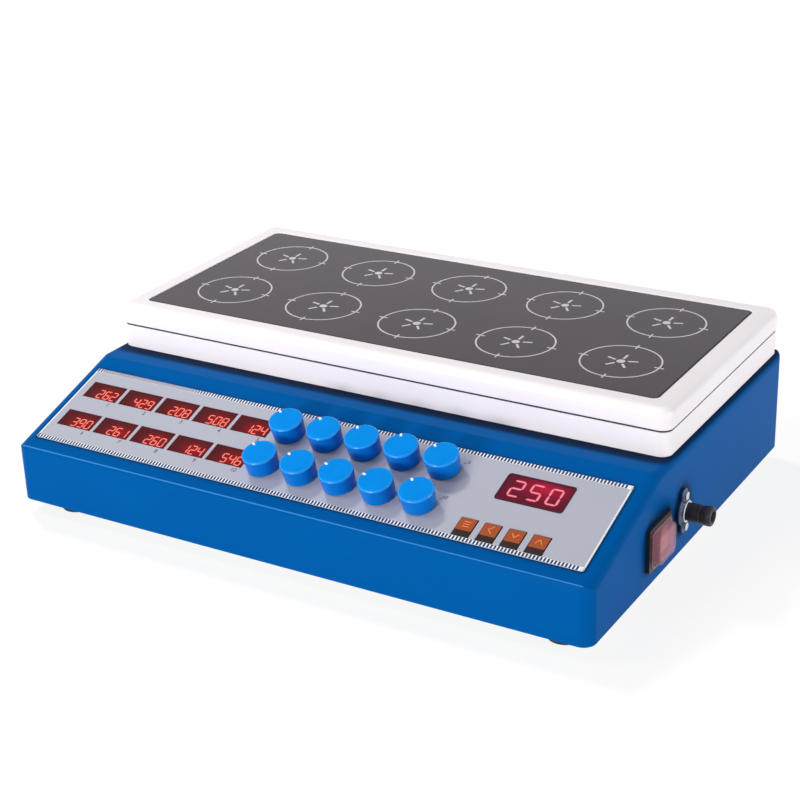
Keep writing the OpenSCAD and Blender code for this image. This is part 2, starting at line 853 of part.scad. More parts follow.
module sensor_socket() {
    color("#c6c9cd") on_side(socket_y, socket_z) difference() {
        union() {
            rod_x(flange_r, 0, flange_t);
            translate([0, -lobe_r, -socket_screw_z]) cube([flange_t, 2 * lobe_r, 2 * socket_screw_z]);
            for (z = [-1, 1]) translate([0, 0, z * socket_screw_z]) rod_x(lobe_r, 0, flange_t);
            rod_x(collar_r, 0, flange_t + collar_t);
            rod_x(barrel_r, -barrel_back, barrel_len);
        }
        rod_x(barrel_bore_r, barrel_floor, barrel_len + cut);
        for (z = [-1, 1]) translate([0, 0, z * socket_screw_z]) rod_x(m3_r + run_fit, -cut, flange_t + cut);
    }
}

module coupling_ring() {
    color("#17181a") on_side(socket_y, socket_z) difference() {
        rod_x(ring_r, ring_start, ring_end);
        rod_x(barrel_r + free_fit, ring_start - cut, ring_end - ring_lip);
        rod_x(neck_r + free_fit, ring_start - cut, ring_end + cut);
    }
}

module sensor_plug() {
    shoulder_x = barrel_len + free_fit;
    body_x = ring_end + plug_gap;
    end_x = body_x + plug_len;
    recess = 3;
    color("#17181a") on_side(socket_y, socket_z) difference() {
        union() {
            rod_x(barrel_bore_r - free_fit, barrel_floor + 1, shoulder_x);
            rod_x(barrel_r - free_fit, shoulder_x, shoulder_x + shoulder_t);
            rod_x(neck_r, shoulder_x, end_x - recess);
            rod_x(plug_r, body_x, end_x);
        }
        rod_x(plug_r / 2, end_x - recess, end_x + cut);
    }
}

module mains_inlet() {
    face = inlet_flange[2];
    color("#1b1b1d") on_back(inlet_x, inlet_z) difference() {
        union() {
            rotate([-90, 0, 0]) plate(inlet_flange[0], inlet_flange[1], 4, 0, face);
            translate([-inlet_body[0] / 2, -inlet_back, -inlet_body[1] / 2])
                cube([inlet_body[0], inlet_back + face / 2, inlet_body[1]]);
        }
        translate([-inlet_mouth[0] / 2, face - inlet_depth, -inlet_mouth[1] / 2])
            cube([inlet_mouth[0], inlet_depth + cut, inlet_mouth[1]]);
        for (x = [-1, 1])
            translate([x * inlet_screw_x, face / 2, 0])
                rotate([90, 0, 0]) cylinder(r = m3_r + fit, h = face + 2 * cut, center = true);
    }
}

module inlet_pins() {
    rise = 3;
    start = inlet_flange[2] - inlet_depth;
    color("#c9a95a") on_back(inlet_x, inlet_z) for (i = [-1 : 1])
        translate([i * pin_spread - pin_size[0] / 2, start, (i == 0 ? rise : -rise) - pin_size[2] / 2])
            cube(pin_size);
}

module power_board() {
    color("#2c7a3f") translate([power_x, power_y, 0]) {
        difference() {
            block(power_w, power_d, z_power, z_power + board_t);
            for (x = [-1, 1], y = [-1, 1])
                translate([x * (power_w / 2 - power_inset), y * (power_d / 2 - power_inset), 0])
                    rod_z(m3_r + fit, z_power - cut, z_power + board_t + cut);
        }
        for (x = [2.5, 5])
            translate([x * capacitor_r, 2 * capacitor_r, 0])
                rod_z(capacitor_r, z_power + board_t + glue, z_power + board_t + capacitor_h);
        translate([0.8 * terminal_w, -power_d / 2 + 1.4 * terminal_d, 0])
            block(terminal_w, terminal_d, z_power + board_t + glue, z_power + board_t + terminal_h);
    }
}

module transformer() {
    bottom = z_power + board_t;
    color("#6f6a64") translate([power_x - power_w / 4, power_y, 0]) {
        block(core_w, core_d, bottom, bottom + core_h);
        block(coil_w, coil_d, bottom + coil_rise, bottom + coil_rise + coil_h);
    }
}

housing_shell();
base_plate();
case_screws();
rubber_feet();
foot_screws();
hex_standoffs();
panel_overlay();
display_windows();
temperature_window();
display_modules();
control_board();
potentiometers();
potentiometer_nuts();
motor_plate();
stir_motors();
motor_screws();
lower_tray();
tray_screws();
tray_gasket();
upper_frame();
glass_plate();
glass_bead();
heater_plate();
insulation_board();
temperature_sensor();
switch_body();
switch_rocker();
switch_boot();
sensor_socket();
coupling_ring();
sensor_plug();
mains_inlet();
inlet_pins();
power_board();
transformer();
for (k = [1 : places]) {
    knob(k);
    rotor(k);
}
for (k = [1 : 4]) key(k);
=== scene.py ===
"""Dresses the ten-place hotplate stirrer: coats, glass, print, displays and controls."""

import json
from math import cos, pi, radians, sin

import bmesh
import bpy
from bpy.props import FloatProperty, FloatVectorProperty, PointerProperty, StringProperty
from bpy.types import Operator, Panel, PropertyGroup
from mathutils import Matrix, Vector


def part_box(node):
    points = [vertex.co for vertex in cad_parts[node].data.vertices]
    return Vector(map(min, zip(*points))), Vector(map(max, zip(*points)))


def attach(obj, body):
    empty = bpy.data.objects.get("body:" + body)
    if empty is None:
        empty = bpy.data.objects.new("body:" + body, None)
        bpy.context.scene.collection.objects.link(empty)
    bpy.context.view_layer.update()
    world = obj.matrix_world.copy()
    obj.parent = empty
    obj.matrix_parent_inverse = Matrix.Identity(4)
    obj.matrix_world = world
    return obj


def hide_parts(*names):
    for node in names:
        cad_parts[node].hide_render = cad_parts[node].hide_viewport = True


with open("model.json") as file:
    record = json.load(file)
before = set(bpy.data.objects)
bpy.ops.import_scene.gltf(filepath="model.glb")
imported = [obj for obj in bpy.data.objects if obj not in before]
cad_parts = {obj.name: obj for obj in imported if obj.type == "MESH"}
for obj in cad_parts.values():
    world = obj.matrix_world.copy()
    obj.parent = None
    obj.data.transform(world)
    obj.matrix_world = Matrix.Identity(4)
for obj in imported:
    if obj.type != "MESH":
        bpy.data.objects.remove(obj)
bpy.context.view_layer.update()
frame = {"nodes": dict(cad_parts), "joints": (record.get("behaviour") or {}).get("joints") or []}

bl_info = {
    "name": "Hotplate Stirrer Dressing",
    "version": (1, 0, 0),
    "blender": (4, 5, 0),
    "location": "View3D > Sidebar > Stirrer",
    "description": "Finishes, prints and soft shapes for a ten-place hotplate stirrer",
    "category": "Object",
}

MM = 0.001
UNIT = "unit"
WHITE = (1, 1, 1, 1)

# Stirring places in a row, with a display and a knob each.
PER_ROW = 5

# Base colour under the light of a lit segment; every other finish lays its own colour over it.
UNLIT = (0.02, 0.002, 0.002, 1)

# Levels between which most of a noise texture lies.
NOISE_SPAN = (0.3, 0.7)

# Size of the built-in font over the height of its digits.
FONT_OVER_DIGIT = 1.37

# Lays an upright shape down, so that it stands out of the housing's right side.
TO_SIDE = Matrix(((0, 0, 1, 0), (1, 0, 0, 0), (0, 1, 0, 0), (0, 0, 0, 1)))

knob_joints = [j for j in frame["joints"] if j["name"].startswith("knob_")]
spin_joints = [j for j in frame["joints"] if j["name"].startswith("rotor_")]


def panel_matrix():
    """Frame of the panel: u to the right, s up the slope from the front fold, n out of the panel."""
    normal = Vector(knob_joints[0]["axis"]).normalized()
    slope = Vector((0, normal.z, -normal.y))
    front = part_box("housing_shell")[0].y
    on_panel = Vector(knob_joints[0]["pos_m"])
    fold = Vector((0, front, on_panel.z - (on_panel.y - front) * slope.z / slope.y))
    axes = Matrix((Vector((1, 0, 0)), slope, normal)).transposed().to_4x4()
    return Matrix.Translation(fold) @ axes


PANEL = panel_matrix()


def screen(red, green, blue):
    """Linear colour of an 8-bit screen colour."""
    levels = (c / 255 for c in (red, green, blue))
    return tuple(c / 12.92 if c <= 0.04045 else ((c + 0.055) / 1.055) ** 2.4 for c in levels)


def mm(*lengths):
    """Lengths in metres from millimetres."""
    return [length * MM for length in lengths]


def tint(name, text, *rgb):
    return FloatVectorProperty(
        name=name, description=text, subtype="COLOR", min=0, max=1, default=screen(*rgb)
    )


def span(name, text, millimetres):
    return FloatProperty(
        name=name, description=text, subtype="DISTANCE", unit="LENGTH", precision=5, default=millimetres * MM
    )


def pair(name, text, *millimetres):
    return FloatVectorProperty(
        name=name, description=text, size=2, subtype="XYZ", unit="LENGTH", precision=5,
        default=mm(*millimetres),
    )


def spot(name, text, *metres):
    return FloatVectorProperty(name=name, description=text, subtype="XYZ", unit="LENGTH", default=metres)


def angle(name, text, degrees):
    return FloatProperty(name=name, description=text, subtype="ANGLE", default=radians(degrees))


def power(name, text, watts):
    return FloatProperty(name=name, description=text, unit="POWER", default=watts)


class STIRRER_PG_finishes(PropertyGroup):
    """Colours of the visible finishes."""

    housing: tint("Housing", "Powder coat of the housing", 0, 86, 157)
    # Painted highlight: the fold colour is the pale line of a lamp's gloss along the front fold.
    fold: tint("Fold", "Painted highlight along the front fold", 60, 132, 204)
    enamel: tint("Enamel", "White coat of the tray and the frame", 247, 240, 244)
    overlay: tint("Overlay", "Ground of the panel overlay", 178, 179, 192)
    border_light: tint("Border light", "Light strip of the overlay's border", 232, 238, 246)
    border_dark: tint("Border dark", "Bars of the overlay's border", 4, 22, 74)
    lettering: tint("Lettering", "Printed numbers", 58, 56, 72)
    lens: tint("Lens", "Filter of the speed displays", 78, 13, 20)
    warm_lens: tint("Temperature lens", "Filter of the temperature display", 96, 12, 36)
    glow: tint("Glow", "Light of the digits on their filter", 190, 6, 16)
    digit: tint("Digit", "Lit display segment", 255, 54, 40)
    digit_core: tint("Digit core", "Middle of a lit display segment", 255, 150, 124)
    knob: tint("Knob", "Top of the speed knobs", 0, 138, 228)
    # Painted shade: the skirt's blue is a darker copy of the top's, for the shade on the knob's side.
    shaded_knob_side: tint("Knob side", "Skirt of the speed knobs", 0, 114, 206)
    pointer: tint("Pointer", "Mark on a knob's rim", 250, 250, 250)
    key: tint("Key", "Face of a key", 164, 80, 44)
    key_symbol: tint("Key symbol", "Sign on a key", 240, 140, 78)
    key_base: tint("Key base", "Edge and lower band of a key", 50, 34, 32)
    glass: tint("Glass", "Ceramic glass of the hot plate", 44, 16, 42)
    place_mark: tint("Place mark", "Print on a stirring place", 206, 204, 210)
    rocker: tint("Rocker", "Rocker of the mains switch", 182, 14, 32)
    boot: tint("Boot", "Clear cover of the mains switch", 216, 150, 168)


class STIRRER_PG_panel(PropertyGroup):
    """Sizes of the prints and controls on the sloping panel."""

    windows: pair("Windows", "Middle of the leftmost speed display, and spacing", -197.3, 33.5)
    window_rows: pair("Window rows", "Back and front row, up the slope", 69.3, 36.9)
    window: pair("Window", "Width and height of a speed display", 30.5, 16.7)
    warm_place: pair("Temperature place", "Middle of the temperature display", 160.5, 67)
    warm_window: pair("Temperature window", "Width and height of the temperature display", 48.2, 24)
    digit: pair("Digit", "Width and height of a speed digit", 4.2, 8.2)
    digit_pitch: span("Digit pitch", "Distance between speed digits", 6.1)
    warm_digit_h: span("Temperature digit", "Height of a temperature digit", 14)
    overlay_s: span("Overlay start", "Lower edge of the overlay, up the slope", 12)
    overlay: pair("Overlay", "Width, and height along the slope", 439, 80)
    overlay_t: span("Overlay thickness", "Thickness of the overlay", 0.5)
    tooth: pair("Tooth", "Spacing and length of the border's bars", 2.5, 3.5)
    label_h: span("Label height", "Height of the printed numbers", 3.7)
    knob_r: pair("Knob radii", "Radius of a knob at its top and its foot", 12.3, 11.4)
    knob_edge: span("Knob edge", "Radius of a knob's top edge", 1.3)
    knob_ends: pair("Knob ends", "Underside and top of a knob above the panel", 1.1, 14.5)
    keys_at: pair("Keys", "Middle of the four keys", 156.5, 24.2)
    key_pitch: span("Key pitch", "Distance between keys", 17.4)
    key: pair("Key", "Width and height of a key's face", 12.3, 16.2)
    key_top: span("Key top", "Face of a key above the panel", 1)


class STIRRER_PG_plate(PropertyGroup):
    """Sizes of the hot plate's frame and prints."""

    edge_r: pair("Frame edges", "Radius of the top edge and of the edge round the glass", 6, 0.8)
    bead_w: span("Bead", "Width of the sealing bead round the glass", 1.5)
    ledge: pair("Ledge", "Width and thickness of the ledge under the glass", 6, 3.5)
    wall: span("Wall", "Thickness of the frame's wall", 4.5)
    mark_r: span("Mark radius", "Radius of the ring round a stirring place", 28.5)
    mark_line: span("Mark line", "Width of the printed lines", 1.2)
    tick: span("Tick", "Length of the four ticks on the ring", 7)
    dot_r: span("Dot radius", "Radius of the dot in the middle", 3)
    ray: pair("Ray", "Inner and outer end of a ray", 5, 12)


class STIRRER_PG_connector(PropertyGroup):
    """Sizes of the sensor socket and its plug, along X from the housing's side."""

    flange: pair("Flange", "Radius and thickness of the socket's flange", 10.4, 2)
    lobe: pair("Lobe", "Radius of a screw lobe, and its height above the socket's axis", 5, 11.6)
    collar: pair("Collar", "Radius and outer face of the bright collar", 7.6, 4.6)
    barrel: pair("Barrel", "Radius and outer end of the socket's barrel", 5.1, 11)
    bore: pair("Bore", "Radius and floor of the socket's bore", 3.8, -3)
    sleeve_lip: span("Sleeve lip", "Thickness of the coupling sleeve's lip", 1.6)
    running_gap: span("Running gap", "Clearance between the turning pieces", 0.3)


class STIRRER_PG_stage(PropertyGroup):
    """Camera, floor and light."""

    camera_place: spot("Camera place", "Where the camera stands", 0.632, -1.0426, 0.608)
    azimuth: angle("Azimuth", "Turn of the camera about the upright", 31.36)
    elevation: angle("Elevation", "Height angle of the camera", 23.85)
    roll: angle("Roll", "Roll of the camera", -1.99)
    lens: FloatProperty(
        name="Lens", description="Focal length", subtype="DISTANCE_CAMERA", unit="CAMERA", default=81.4
    )
    floor: tint("Floor", "Pale floor", 240, 240, 242)
    sky: FloatProperty(name="Sky", description="Level of the soft light all round", default=0.28)
    key_place: spot("Key place", "Key lamp, high behind on the left", -1.2, 0.45, 2.0)
    key_power: power("Key lamp", "Power of the key lamp", 24)
    fill_place: spot("Fill place", "Fill lamp, low in front on the left", -0.4, -2.95, 0.3)
    fill_power: power("Fill lamp", "Power of the fill lamp", 72)
    side_place: spot("Side place", "Side lamp, low on the right", 3.0, 0.7, 0.3)
    side_power: power("Side lamp", "Power of the side lamp", 54)
    edge_place: spot("Edge place", "Small lamp for the edges", -0.75, -0.85, 1.65)
    edge_power: power("Edge lamp", "Power of the lamp for the edges", 7)


def add_node(tree, kind, values=None, sources=None, **settings):
    """Adds a shader node with its settings, its sockets' values and the outputs that feed it."""
    node = tree.nodes.new(kind)
    for setting, value in settings.items():
        setattr(node, setting, value)
    for socket, value in (values or {}).items():
        node.inputs[socket].default_value = value
    for socket, source in (sources or {}).items():
        tree.links.new(source, node.inputs[socket])
    return node


def coordinates(tree, kind):
    """Source of a node's vector: a kind of coordinate on the piece."""
    return {"Vector": tree.nodes.new("ShaderNodeTexCoord").outputs[kind]}


def ranged(tree, source, start, end, low=0, high=1):
    """Output that runs from low to high while its source runs from start to end."""
    values = {"From Min": start, "From Max": end, "To Min": low, "To Max": high}
    return add_node(tree, "ShaderNodeMapRange", values, {"Value": source}).outputs["Result"]


def finish(
    name, colour, shade=0.05, cloud=18, rough=(0.35, 0.5), grain=900, relief=0.02, shine=0.5,
    stretch=(1, 1, 1), **sockets
):
    """Procedural finish whose colour, roughness and relief vary over the piece.

    cloud and grain are the fineness of the broad and the fine variation per metre, relief is in
    millimetres, shine is the specular level, and further keywords set the shader's own sockets,
    with _ for a space.
    """
    known = bpy.data.materials.get(name)
    if known:
        return known
    material = bpy.data.materials.new(name)
    material.use_nodes = True
    tree = material.node_tree
    shader = tree.nodes["Principled BSDF"]
    place = add_node(tree, "ShaderNodeMapping", {"Scale": stretch}, coordinates(tree, "Object"))
    placed = {"Vector": place.outputs["Vector"]}
    broad, fine = (
        add_node(tree, "ShaderNodeTexNoise", {"Scale": scale, "Detail": 3}, placed).outputs["Fac"]
        for scale in (cloud, grain)
    )
    tone = add_node(tree, "ShaderNodeValToRGB", sources={"Fac": broad})
    for stop, position, change in zip(tone.color_ramp.elements, NOISE_SPAN, (-shade, shade)):
        stop.position = position
        stop.color = [min(1, c * (1 + change)) for c in colour] + [1]
    bump = add_node(tree, "ShaderNodeBump", {"Distance": relief * MM}, {"Height": fine})
    shader.inputs["Base Color"].default_value = UNLIT
    shader.inputs["Specular IOR Level"].default_value = shine
    toned = "Emission Color" if sockets.get("Emission_Strength") else "Base Color"
    tree.links.new(tone.outputs["Color"], shader.inputs[toned])
    tree.links.new(ranged(tree, fine, *NOISE_SPAN, *rough), shader.inputs["Roughness"])
    tree.links.new(bump.outputs["Normal"], shader.inputs["Normal"])
    for socket, value in sockets.items():
        shader.inputs[socket.replace("_", " ")].default_value = value
    return material


def blend_colour(material, share, mode="MIX", values=None, sources=None):
    """Blends a colour, given as B, by a share into what already feeds a finish's colour."""
    tree = material.node_tree
    base = tree.nodes["Principled BSDF"].inputs["Base Color"]
    sources = {"Factor": share, "A": base.links[0].from_socket, **(sources or {})}
    mix = add_node(tree, "ShaderNodeMix", values, sources, data_type="RGBA", blend_type=mode)
    tree.links.new(mix.outputs["Result"], base)


def paint_contact_shade(material, reach, above):
    """Paints shade into a finish, above a height, where another surface stands within reach of it."""
    tree = material.node_tree
    near = add_node(tree, "ShaderNodeAmbientOcclusion", {"Distance": reach})
    depth = add_node(tree, "ShaderNodeValToRGB", sources={"Fac": near.outputs["AO"]})
    for openness, level in ((0.5, 0.1), (0.9, 0.24), (0.97, 0.6)):
        depth.color_ramp.elements.new(openness).color = (level, level, level, 1)
    depth.color_ramp.elements.remove(depth.color_ramp.elements[0])
    place = add_node(tree, "ShaderNodeSeparateXYZ", sources=coordinates(tree, "Object"))
    share = ranged(tree, place.outputs["Z"], above, above + reach / 2)
    blend_colour(material, share, "MULTIPLY", sources={"B": depth.outputs["Color"]})


def paint_fold_highlight(material, colour):
    """Paints a highlight into a finish where its surface turns from the front wall into the slope."""
    tree = material.node_tree
    facing = add_node(tree, "ShaderNodeSeparateXYZ", sources=coordinates(tree, "Normal")).outputs
    turning = {0: ranged(tree, facing["Y"], -0.56, -0.65), 1: ranged(tree, facing["Z"], 0.62, 0.71)}
    share = add_node(tree, "ShaderNodeMath", sources=turning, operation="MULTIPLY")
    blend_colour(material, share.outputs["Value"], values={"B": [*colour, 1]})


def spread_glow(material, colour, strength=0.6):
    """Lets a finish glow from the middle of its patch, which is the origin of its UV map."""
    tree = material.node_tree
    shader = tree.nodes["Principled BSDF"]
    shader.inputs["Emission Color"].default_value = [*colour, 1]
    place = coordinates(tree, "UV")
    fall = add_node(tree, "ShaderNodeTexGradient", sources=place, gradient_type="QUADRATIC_SPHERE")
    level = ranged(tree, fall.outputs["Fac"], 0, 1, 0, strength)
    tree.links.new(level, shader.inputs["Emission Strength"])


def metal(name, colour, rough=(0.22, 0.36), stretch=(1, 1, 1)):
    return finish(
        name, colour, shade=0.08, cloud=60, rough=rough, grain=700, relief=0.01, stretch=stretch,
        Metallic=1,
    )


def plastic(name, colour, rough=(0.3, 0.42), **sockets):
    return finish(name, colour, shade=0.04, cloud=90, rough=rough, grain=1600, relief=0.008, **sockets)


def ink(name, colour, shade=0.06, rough=(0.45, 0.6), grain=2400):
    return finish(name, colour, shade=shade, rough=rough, grain=grain, relief=0.004)


def red_filter(name, colour, rough):
    return plastic(name, colour, rough=rough, shine=0.08)


def lit(name, colour, shade, cloud):
    return finish(name, colour, shade=shade, cloud=cloud, Emission_Strength=1)


def screw_steel():
    return metal("Bright screw steel", screen(206, 208, 212))


def zinc_sheet():
    return metal("Zinc plated sheet", screen(176, 182, 188), rough=(0.34, 0.5))


def pin_brass():
    return metal("Pin brass", screen(206, 176, 104))


def black_moulding():
    return plastic("Black moulding", screen(26, 26, 29), rough=(0.36, 0.5))


def dress(node, material, edge=0):
    """Gives a solid of the frame its finish, and softens its edges by that many millimetres."""
    solid = frame["nodes"][node]
    solid.data.materials.clear()
    solid.data.materials.append(material)
    if edge:
        bevel = solid.modifiers.new("Soft edge", "BEVEL")
        bevel.width = edge * MM
        bevel.segments = 3
        bevel.limit_method = "ANGLE"
        bevel.angle_limit = radians(50)
        bevel.harden_normals = True


def piece(name, bm, body, materials, matrix=Matrix(), stands_for=None, sharp=40):
    """Makes a piece from a bmesh, moves it by the matrix and lets it ride on a body."""
    bm.transform(matrix)
    bmesh.ops.recalc_face_normals(bm, faces=bm.faces)
    mesh = bpy.data.meshes.new(name)
    bm.to_mesh(mesh)
    bm.free()
    mesh.shade_smooth()
    mesh.set_sharp_from_angle(angle=radians(sharp))
    for material in materials:
        mesh.materials.append(material)
    made = bpy.data.objects.new(name, mesh)
    bpy.context.scene.collection.objects.link(made)
    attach(made, body)
    if stands_for:
        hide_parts(stands_for)


def polar(radius, a):
    return radius * cos(a), radius * sin(a)


def quarter(steps):
    """Angles of a quarter turn."""
    return [i / steps * pi / 2 for i in range(steps + 1)]


def outline(width, depth, radius, steps=8):
    """Points of a rounded rectangle about the origin, counter-clockwise."""
    points = []
    for turn, (x, y) in enumerate(((1, 1), (-1, 1), (-1, -1), (1, -1))):
        for i in range(steps + 1):
            across, up = polar(radius, (turn + i / steps) * pi / 2)
            points.append((x * (width / 2 - radius) + across, y * (depth / 2 - radius) + up))
    return points


def rectangle(left, low, right, high):
    return [(left, low), (right, low), (right, high), (left, high)]


def disc(radius, steps):
    return [polar(radius, 2 * pi * i / steps) for i in range(steps)]


def skin(bm, rows, caps=True, loop=False, index=0):
    """Skins rows of points, with end caps or joined into a loop."""
    rows = [[bm.verts.new(point) for point in row] for row in rows]
    pairs = list(zip(rows, rows[1:])) + ([(rows[-1], rows[0])] if loop else [])
    faces = []
    for low, high in pairs:
        for i in range(len(low)):
            j = (i + 1) % len(low)
            faces.append(bm.faces.new((low[i], low[j], high[j], high[i])))
    if caps and not loop:
        faces += [bm.faces.new(rows[0]), bm.faces.new(rows[-1])]
    for face in faces:
        face.material_index = index


def loft(bm, rings, **options):
    """Skins a list of (points, height) rings."""
    skin(bm, [[(x, y, z) for x, y in points] for points, z in rings], **options)


def rounded_rings(shape, low, high, low_r=0, high_r=0, steps=5):
    """Rings of an upright slab with rounded rims; shape(inset) gives its outline."""
    rings = []
    for a in quarter(steps) if low_r else [0]:
        rings.append((shape(low_r * (1 - sin(a))), low + low_r * (1 - cos(a))))
    for a in quarter(steps) if high_r else [0]:
        rings.append((shape(high_r * (1 - cos(a))), high - high_r * (1 - sin(a))))
    return rings


def prism(bm, points, low, high, index=0):
    loft(bm, [(points, low), (points, high)], index=index)


def hoop(bm, outer, inner, low, high):
    loft(bm, [(outer, low), (outer, high), (inner, high), (inner, low)], loop=True)


def glow_patch(bm, points, level, middle, reach):
    """Thin patch of a display filter whose UV map has its origin in the middle of the glow."""
    known = set(bm.faces)
    prism(bm, points, level - 0.05 * MM, level + 0.02 * MM)
    layer = bm.loops.layers.uv.verify()
    for face in set(bm.faces) - known:
        for loop in face.loops:
            loop[layer].uv = [(loop.vert.co[i] - middle[i]) / reach[i] for i in range(2)]


def bar(start, end, width):
    """Outline of a straight stroke."""
    a, b = Vector(start), Vector(end)
    side = (b - a).orthogonal().normalized() * width / 2
    return [tuple(p) for p in (a - side, b - side, b + side, a + side)]


def spoke(a, start, end, width):
    """Outline of a straight stroke that points away from the origin."""
    return bar(polar(start, a), polar(end, a), width)


def moved(points, x, y):
    return [(px + x, py + y) for px, py in points]


def turned(bm, profile, steps=96, **options):
    """Turned solid about Z from (radius, height) points, or a turned ring where they make a loop."""
    loft(bm, [(disc(radius, steps), height) for radius, height in profile], **options)


def side_place(x, box):
    """Place on the housing's right side, in the middle of a box and at x."""
    low, high = box
    return Matrix.Translation((x, (low.y + high.y) / 2, (low.z + high.z) / 2)) @ TO_SIDE


def lobed(round_r, lobe_r, lobe_at, steps=120):
    """Outline of a round flange with a screw lobe above and below it."""
    points, tiny = [], 1e-6
    for i in range(steps):
        a = 2 * pi * i / steps
        across, up = abs(cos(a)), abs(sin(a))
        reach = max(round_r, min(lobe_r / max(across, tiny), lobe_at / max(up, tiny)))
        inside = (up * lobe_at) ** 2 - lobe_at ** 2 + lobe_r ** 2
        if inside > 0:
            reach = max(reach, up * lobe_at + inside ** 0.5)
        points.append(polar(reach, a))
    return points


SEGMENTS = {
    "0": "abcdef", "1": "bc", "2": "abged", "3": "abgcd", "4": "fgbc",
    "5": "afgcd", "6": "afgedc", "7": "abc", "8": "abcdefg", "9": "abcdfg",
}


def segment_points(segment, width, height, stroke):
    """Outline of one display segment, with pointed ends."""
    w, h, gap = width / 2, height / 2, stroke * 0.14
    ends = {
        "a": ((-w, h), (w, h)), "g": ((-w, 0), (w, 0)), "d": ((-w, -h), (w, -h)),
        "f": ((-w, 0), (-w, h)), "b": ((w, 0), (w, h)),
        "e": ((-w, -h), (-w, 0)), "c": ((w, -h), (w, 0)),
    }[segment]
    a, b = (Vector(p) for p in ends)
    along = (b - a).normalized()
    side = Vector((-along.y, along.x)) * stroke / 2
    a, b = a + along * gap, b - along * gap
    tip = along * stroke / 2
    return [tuple(p) for p in (a, a + tip - side, b - tip - side, b, b - tip + side, a + tip + side)]


def lit_number(bm, text, u, s, low, digit_w, digit_h, pitch, stroke):
    """Glowing number about a place: segments with a brighter core a little above them."""
    for place, sign in enumerate(text):
        x = u + (place - (len(text) - 1) / 2) * pitch
        for segment in SEGMENTS[sign]:
            for index, (width, rise) in enumerate(((stroke, 0.04 * MM), (stroke * 0.4, 0.06 * MM))):
                points = moved(segment_points(segment, digit_w, digit_h, width), x, s)
                prism(bm, points, low, low + rise, index)


def print_number(bm, text, u, s, height, low, rise=0.06 * MM):
    """Printed number in the built-in font, centred on a place of the panel."""
    curve = bpy.data.curves.new("number", "FONT")
    curve.body = text
    curve.size = height * FONT_OVER_DIGIT
    curve.align_x, curve.align_y = "CENTER", "CENTER"
    curve.extrude = rise / 2
    made = bpy.data.objects.new("number", curve)
    bpy.context.scene.collection.objects.link(made)
    drawn = made.evaluated_get(bpy.context.evaluated_depsgraph_get())
    shape = bpy.data.meshes.new_from_object(drawn)
    shape.transform(Matrix.Translation((u, s, low + rise / 2)))
    bm.from_mesh(shape)
    bpy.data.objects.remove(made)
    bpy.data.curves.remove(curve)
    bpy.data.meshes.remove(shape)


def window_place(sizes, k):
    """Middle of speed display k on the panel, counted from the left with the back row first."""
    first, pitch = sizes.windows
    return first + k % PER_ROW * pitch, sizes.window_rows[k // PER_ROW]


def knob_place(joint):
    return PANEL.inverted() @ Vector(joint["pos_m"])


class STIRRER_OT_housing(Operator):
    """Paint the sheet housing and finish the base plate, feet and screws"""

    bl_idname = "stirrer.housing"
    bl_label = "Housing"

    def execute(self, context):
        colours = context.scene.stirrer_finishes
        paint = finish(
            "Blue powder coat", colours.housing, shade=0.03, cloud=9, rough=(0.28, 0.36),
            grain=1300, relief=0.012, shine=0.012,
        )
        # Painted shade: the coat darkens where the tray, the switch and the socket stand close to it.
        paint_contact_shade(paint, reach=14 * MM, above=19 * MM)
        # Painted highlight along the front fold.
        paint_fold_highlight(paint, colours.fold)
        dress("housing_shell", paint)
        dress("base_plate", zinc_sheet())
        for node in ("case_screws", "foot_screws"):
            dress(node, screw_steel(), edge=0.4)
        rubber = finish(
            "Foot rubber", screen(12, 12, 14), shade=0.1, rough=(0.6, 0.8), grain=1100, relief=0.03
        )
        dress("rubber_feet", rubber, edge=0.8)
        return {"FINISHED"}


